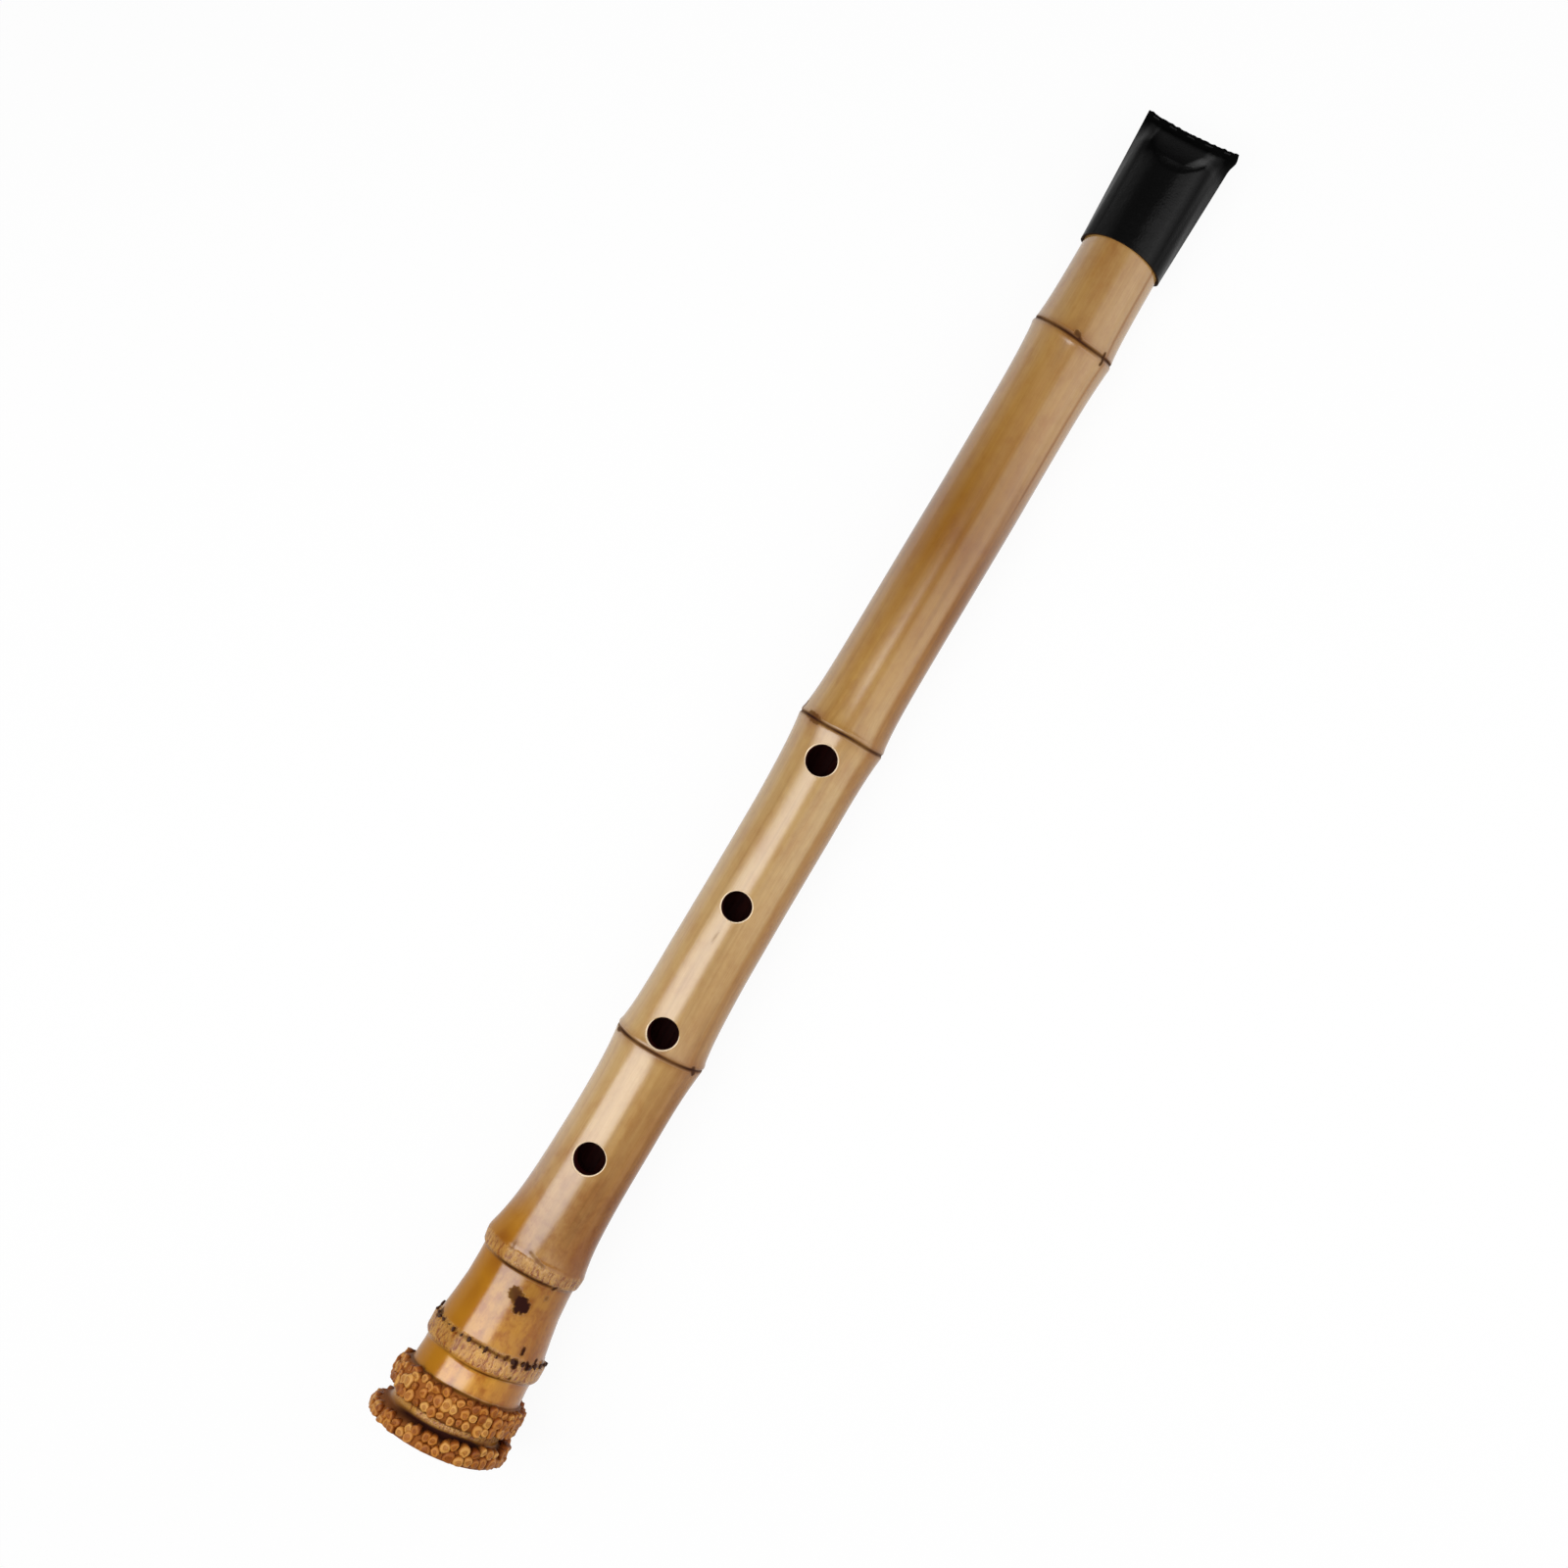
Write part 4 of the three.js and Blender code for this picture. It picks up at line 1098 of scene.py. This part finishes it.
def bamboo_material():
    """Madake bamboo, its skin polished and oiled: honey brown with long fibres, glossy."""
    material, tree, shader = new_material("madake_bamboo_polished")
    grain = add_node(tree, "ShaderNodeAttribute", attribute_name="grain")["Vector"]
    marks = {
        name: add_node(tree, "ShaderNodeAttribute", attribute_name=name)["Fac"]
        for name in ("amber", "right_shade", "crinkled", "stain", "crevice_shade", "dark")
    }
    along = add_node(tree, "ShaderNodeSeparateXYZ", {0: grain})["X"]
    share = add_node(tree, "ShaderNodeMath", {0: along, 1: FLUTE_LENGTH}, operation="DIVIDE")
    tone = add_node(tree, "ShaderNodeValToRGB", {0: share[0]}, STALK_TONES)["Color"]
    patterns, tints = {}, {}
    for name, (scale, detail, roughness, stops) in SKIN_PATTERNS.items():
        patterns[name] = grain_noise(tree, grain, scale, detail, roughness)
        tints[name] = add_node(tree, "ShaderNodeValToRGB", {0: patterns[name]}, stops)["Color"]
    # The mottling is strongest toward the root, the clouds break the stains up, and the
    # root end is less polished than the stalk
    aged, broken, rooty = [
        add_node(tree, "ShaderNodeMapRange", {
            "Value": value, "From Min": start, "From Max": end,
            "To Min": first, "To Max": last})[0]
        for value, start, end, first, last in (
            (along, 70.0, 125.0, 0.6, 0.12), (patterns["clouds"], 0.3, 0.6, 0.4, 1.0),
            (along, 90.0, 125.0, 0.1, 0.0))
    ]
    # The bands are rubbed paler, and amber skin and the painted shade on the right are less
    # glossy
    stained, rubbed, waned, matt = [
        add_node(tree, "ShaderNodeMath", {0: marks[name], 1: share}, operation="MULTIPLY")[0]
        for name, share in (
            ("stain", broken), ("crinkled", 0.34), ("amber", 0.8), ("right_shade", 0.6))
    ]
    colour = lay_colours(tree, tone, [
        ("MULTIPLY", 0.6, tints["streaks"]),
        ("MULTIPLY", 0.35, tints["fibres"]),
        ("MULTIPLY", 0.5, tints["clouds"]),
        ("MULTIPLY", aged, tints["mottling"]),
        ("MIX", marks["amber"], "#a06911"),
        # Painted shade on the right side, darker and browner
        ("MULTIPLY", marks["right_shade"], "#cfae85"),
        ("MIX", rubbed, "#e4b262"),
        ("MULTIPLY", marks["crinkled"], tints["wrinkles"]),
        ("MIX", stained, "#7c4410"),
        # Painted shade in the crevices between the stubs
        ("MIX", marks["crevice_shade"], "#8e5220"),
        ("MIX", marks["dark"], "#2a0b04"),
    ])
    # Scars and crevices are dull, the skin between them is glossy
    dull = faded = add_node(
        tree, "ShaderNodeMath", {0: marks["dark"], 1: marks["crevice_shade"]}, operation="MAXIMUM")[0]
    for loss in (waned, matt, rooty):
        faded = add_node(tree, "ShaderNodeMath", {0: faded, 1: loss}, operation="MAXIMUM")[0]
    roughness = add_node(
        tree, "ShaderNodeMapRange", {"Value": dull, "To Min": 0.24, "To Max": 0.8})[0]
    gloss = add_node(tree, "ShaderNodeMapRange", {
        "Value": faded, "From Max": 0.5, "To Min": 1.0, "To Max": 0.1})[0]
    bump = add_node(tree, "ShaderNodeBump", {
        "Strength": 0.1, "Distance": 0.0001, "Height": patterns["fibres"]})["Normal"]
    bump = add_node(tree, "ShaderNodeBump", {
        "Strength": marks["crinkled"], "Distance": 0.001, "Height": patterns["wrinkles"],
        "Normal": bump})["Normal"]
    set_inputs(shader, {
        "Base Color": colour, "Roughness": roughness, "Normal": bump,
        "Specular IOR Level": gloss, "IOR": 1.6})
    return material


def stub_material():
    """Cut and polished ends of bamboo roots: pale rings on the cut faces, the sides darkened
    down into the crevices as painted shade.
    """
    material, tree, shader = new_material("bamboo_root_cut_polished")
    ring, tone, bark = [
        add_node(tree, "ShaderNodeAttribute", attribute_name=name)["Fac"]
        for name in ("ring", "tone", "bark")
    ]
    share = add_node(tree, "ShaderNodeMath", {0: ring, 1: LAST_RING}, operation="DIVIDE")
    rings = add_node(tree, "ShaderNodeValToRGB", {0: share[0]}, ROOT_RINGS_AND_SHADE)["Color"]
    tint = add_node(tree, "ShaderNodeValToRGB", {0: tone}, STUB_TONES)["Color"]
    colour = lay_colours(tree, rings, [("MULTIPLY", 1.0, tint), ("MIX", bark, "#3a1a07")])
    set_inputs(shader, {"Base Color": colour, "Roughness": 0.5, "Specular IOR Level": 0.25})
    return material


def fine_material(name, source, scale, stops, roughness, level, relief):
    """A finish with one fine pattern in its colour, roughness and relief.

    The scale is in features for each mm along, aside and up. The source is the attribute
    that holds the place in mm, or empty for a CAD node's own coordinates."""
    material, tree, shader = new_material(name)
    if source:
        place = add_node(tree, "ShaderNodeAttribute", attribute_name=source)["Vector"]
    else:
        place = add_node(tree, "ShaderNodeTexCoord")["Object"]
        scale = tuple(share / MM for share in scale)
    pattern = grain_noise(tree, place, scale, 3.0, 0.6)
    tones = add_node(tree, "ShaderNodeValToRGB", {0: pattern}, stops)["Color"]
    rough = add_node(tree, "ShaderNodeMapRange", {
        "Value": pattern, "From Min": 0.3, "From Max": 0.7,
        "To Min": roughness[0], "To Max": roughness[1]})[0]
    bump = add_node(tree, "ShaderNodeBump", {
        "Strength": 0.4, "Distance": relief * MM, "Height": pattern})["Normal"]
    set_inputs(shader, {
        "Base Color": tones, "Roughness": rough, "Normal": bump, "Specular IOR Level": level})
    return material


def wall_material():
    """Walls of the finger holes, brushed with dark red lacquer: brush marks round the hole."""
    return fine_material(
        "hole_wall_lacquered", "grain", (0.5, 0.5, 2.0),
        [(0.35, "#2b0807"), (0.65, "#3b0d0c")], (0.5, 0.7), 0.2, 0.02)


def rim_highlight_material():
    """Bevelled rims of the finger holes, pale, with fibres: the pale colour is a painted
    highlight, the light that the rims catch all round.
    """
    return fine_material(
        "hole_rim_painted_highlight", "grain", (0.1, 2.2, 2.2),
        [(0.35, "#dcc09a"), (0.6, "#ecd5b5")], (0.45, 0.6), 0.5, 0.02)


def bore_material():
    """Lacquer on the wall of the bore, brushed on and rubbed down: nearly black red."""
    return fine_material(
        "urushi_lacquer_rubbed", "", (0.05, 0.8, 0.8),
        [(0.35, "#2a0706"), (0.65, "#3b0f0a")], (0.6, 0.8), 0.15, 0.02)


def horn_material():
    """Polished buffalo horn: nearly black, with faint brown streaks, glossy."""
    return fine_material(
        "buffalo_horn_polished", "", (0.08, 0.9, 0.9),
        [(0.35, "#130f0d"), (0.55, "#1d1815"), (0.75, "#3a2b20")], (0.2, 0.3), 0.5, 0.004)


def raw_edge_material():
    """Cut edge of the cowhide, not dyed through: dark brown, dull and fibrous."""
    return fine_material(
        "cowhide_cut_edge", "grain", (2.0, 2.0, 2.0),
        [(0.35, "#1f1108"), (0.65, "#35200f")], (0.75, 0.9), 0.1, 0.06)


def thread_material():
    """Waxed linen thread, black and dull, with the unevenness of its fibres."""
    return fine_material(
        "linen_thread_waxed", "", (3.0, 3.0, 3.0),
        [(0.35, "#080808"), (0.65, "#131313")], (0.6, 0.8), 0.5, 0.03)


def sawn_material():
    """Sawn bamboo: pale, with the dark ends of its fibre bundles."""
    material, tree, shader = new_material("madake_bamboo_sawn")
    grain = add_node(tree, "ShaderNodeAttribute", attribute_name="grain")["Vector"]
    flat = add_node(
        tree, "ShaderNodeVectorMath", {0: grain, 1: (0, 1, 1)}, operation="MULTIPLY")[0]
    # Fibre bundles about 0.9 mm apart
    bundles = add_node(tree, "ShaderNodeTexVoronoi", {"Vector": flat, "Scale": 1.1})["Distance"]
    tones = add_node(
        tree, "ShaderNodeValToRGB", {0: bundles},
        [(0.12, "#7d5526"), (0.3, "#c9a366"), (1.0, "#d2ae74")])["Color"]
    set_inputs(shader, {"Base Color": tones, "Roughness": 0.6})
    return material


def leather_material():
    """Black cowhide with a smooth finish: faint grain, half gloss."""
    material, tree, shader = new_material("cowhide_black_smooth")
    grain = add_node(tree, "ShaderNodeAttribute", attribute_name="grain")["Vector"]
    # Grain of the hide, about 0.7 mm between pores
    pores = add_node(tree, "ShaderNodeTexVoronoi", {"Vector": grain, "Scale": 1.4})["Distance"]
    bump = add_node(tree, "ShaderNodeBump", {
        "Strength": 0.25, "Distance": 0.0002, "Height": pores})["Normal"]
    left = add_node(tree, "ShaderNodeAttribute", attribute_name="gloss")["Fac"]
    gloss = add_node(tree, "ShaderNodeMath", {0: left, 1: 0.28}, operation="MULTIPLY")[0]
    set_inputs(shader, {
        "Base Color": hex_colour("#080808"), "Roughness": 0.28, "Normal": bump,
        "Specular IOR Level": gloss})
    return material


# Build
def dress(thing, body, materials, replaced=()):
    """Gives a piece its materials and its place in the table."""
    for material in materials:
        if material.name not in thing.data.materials:
            thing.data.materials.append(material)
    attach(thing, body)
    if replaced:
        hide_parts(*replaced)


def repaint(node, material):
    """Gives a CAD node its material."""
    for slot in frame["nodes"][node].material_slots:
        slot.material = material


skin = make_skin()
mark_skin(skin)
faces = [bamboo_material(), wall_material(), sawn_material(), rim_highlight_material()]
dress(skin, "flute", faces, ["bamboo_culm"])
stubs = stub_material()
for row in make_stubs(stubs):
    dress(row, "flute", [stubs])
hide = [leather_material(), raw_edge_material()]
dress(make_panel("front_panel", 1), "cap", hide, ["cap_front_panel"])
dress(make_panel("back_panel", -1), "cap", hide, ["cap_back_panel"])
repaint("bore_lacquer_coat", bore_material())
repaint("blowing_edge_inlay", horn_material())
repaint("cap_seam_thread", thread_material())

# Studio
FLOOR_HALF = 3.0
FLOOR_HEIGHT = -0.0003
FLOOR_GLOW = 0.93
LAMP_DISTANCE = 0.9
# Lamps: first and last angle to the right of the camera in degrees, start and end along
# the flute in metres, twist in degrees, brightness, and whether the gloss shows them
LAMPS = [
    ("left_softbox", -57, 2, -0.60, 0.03, 23, 3.1, True),
    ("right_softbox", 15, 80, -0.12, 0.62, 0, 0.75, True),
    ("overhead_fill", -35, 60, -0.35, 0.6, 0, 1.15, False),
]


def rays_seen(tree, *kinds):
    """One for these kinds of rays and zero for all others."""
    rays = add_node(tree, "ShaderNodeLightPath")
    seen = rays[kinds[0]]
    for kind in kinds[1:]:
        seen = add_node(tree, "ShaderNodeMath", {0: seen, 1: rays[kind]}, operation="MAXIMUM")[0]
    return seen


def make_floor():
    """White paper sheet that keeps a soft shadow and otherwise shows plain white."""
    corners = [(-1, -1), (1, -1), (1, 1), (-1, 1)]
    points = [(FLOOR_HALF * x, FLOOR_HALF * y, FLOOR_HEIGHT) for x, y in corners]
    floor = new_object("floor", points, [(0, 1, 2, 3)])
    material, tree, shader = new_material("paper_sheet_white")
    set_inputs(shader, {"Base Color": hex_colour("#e6e6e6"), "Roughness": 0.9})
    glow = add_node(tree, "ShaderNodeEmission", {"Color": (1, 1, 1, 1), "Strength": 1.0})[0]
    seen = rays_seen(tree, "Is Camera Ray", "Is Transmission Ray", "Is Glossy Ray")
    shown = add_node(tree, "ShaderNodeMath", {0: seen, 1: FLOOR_GLOW}, operation="MULTIPLY")[0]
    both = add_node(tree, "ShaderNodeMixShader", {0: shown, 1: shader.outputs[0], 2: glow})[0]
    set_inputs(tree.nodes["Material Output"], {"Surface": both})
    floor.data.materials.append(material)


def make_lamp(name, first_angle, last_angle, start, end, twist, brightness, shows):
    """A long flat lamp beside the flute, between two angles to the right of the camera."""
    middle = ROUND_TURN + math.radians((first_angle + last_angle) / 2)
    half = math.radians((last_angle - first_angle) / 2)
    back = Vector((0, -math.sin(middle), math.cos(middle)))
    along = Vector((1, 0, 0))
    data = bpy.data.lights.new(name, "AREA")
    data.shape = "RECTANGLE"
    data.size = end - start
    data.size_y = 2 * LAMP_DISTANCE * math.sin(half)
    data.energy = brightness * math.pi * data.size * data.size_y
    lamp = add_object(name, data)
    place = back * LAMP_DISTANCE * math.cos(half) + along * (start + end) / 2
    turn = Matrix([along, back.cross(along), back]).transposed()
    turned = turn.to_4x4() @ Matrix.Rotation(math.radians(twist), 4, "Z")
    lamp.matrix_world = Matrix.Translation(place) @ turned
    lamp.visible_camera = False
    lamp.visible_glossy = shows


def make_world():
    """Pale walls round a room with a dark ceiling."""
    world = bpy.data.worlds.new("studio_room")
    bpy.context.scene.world = world
    world.use_nodes = True
    tree = world.node_tree
    place = add_node(tree, "ShaderNodeTexCoord")["Generated"]
    split = add_node(tree, "ShaderNodeSeparateXYZ", {0: place})
    length = add_node(tree, "ShaderNodeMath", {0: split["X"]}, operation="ABSOLUTE")[0]
    walls = add_node(
        tree, "ShaderNodeValToRGB", {0: split["Z"]}, [(0.3, "#aaaaaa"), (0.7, "#202020")])
    ends = add_node(
        tree, "ShaderNodeValToRGB", {0: length}, [(0.45, "#ffffff"), (0.8, "#5a5a5a")])
    seen = rays_seen(tree, "Is Camera Ray", "Is Transmission Ray")
    room = lay_colours(tree, walls["Color"], [
        ("MULTIPLY", 1.0, ends["Color"]), ("MIX", seen, "#ffffff")])
    set_inputs(tree.nodes["Background"], {"Color": room, "Strength": 1.0})


make_camera()
make_floor()
make_world()
for lamp in LAMPS:
    make_lamp(*lamp)
bpy.context.scene.view_settings.view_transform = "Standard"
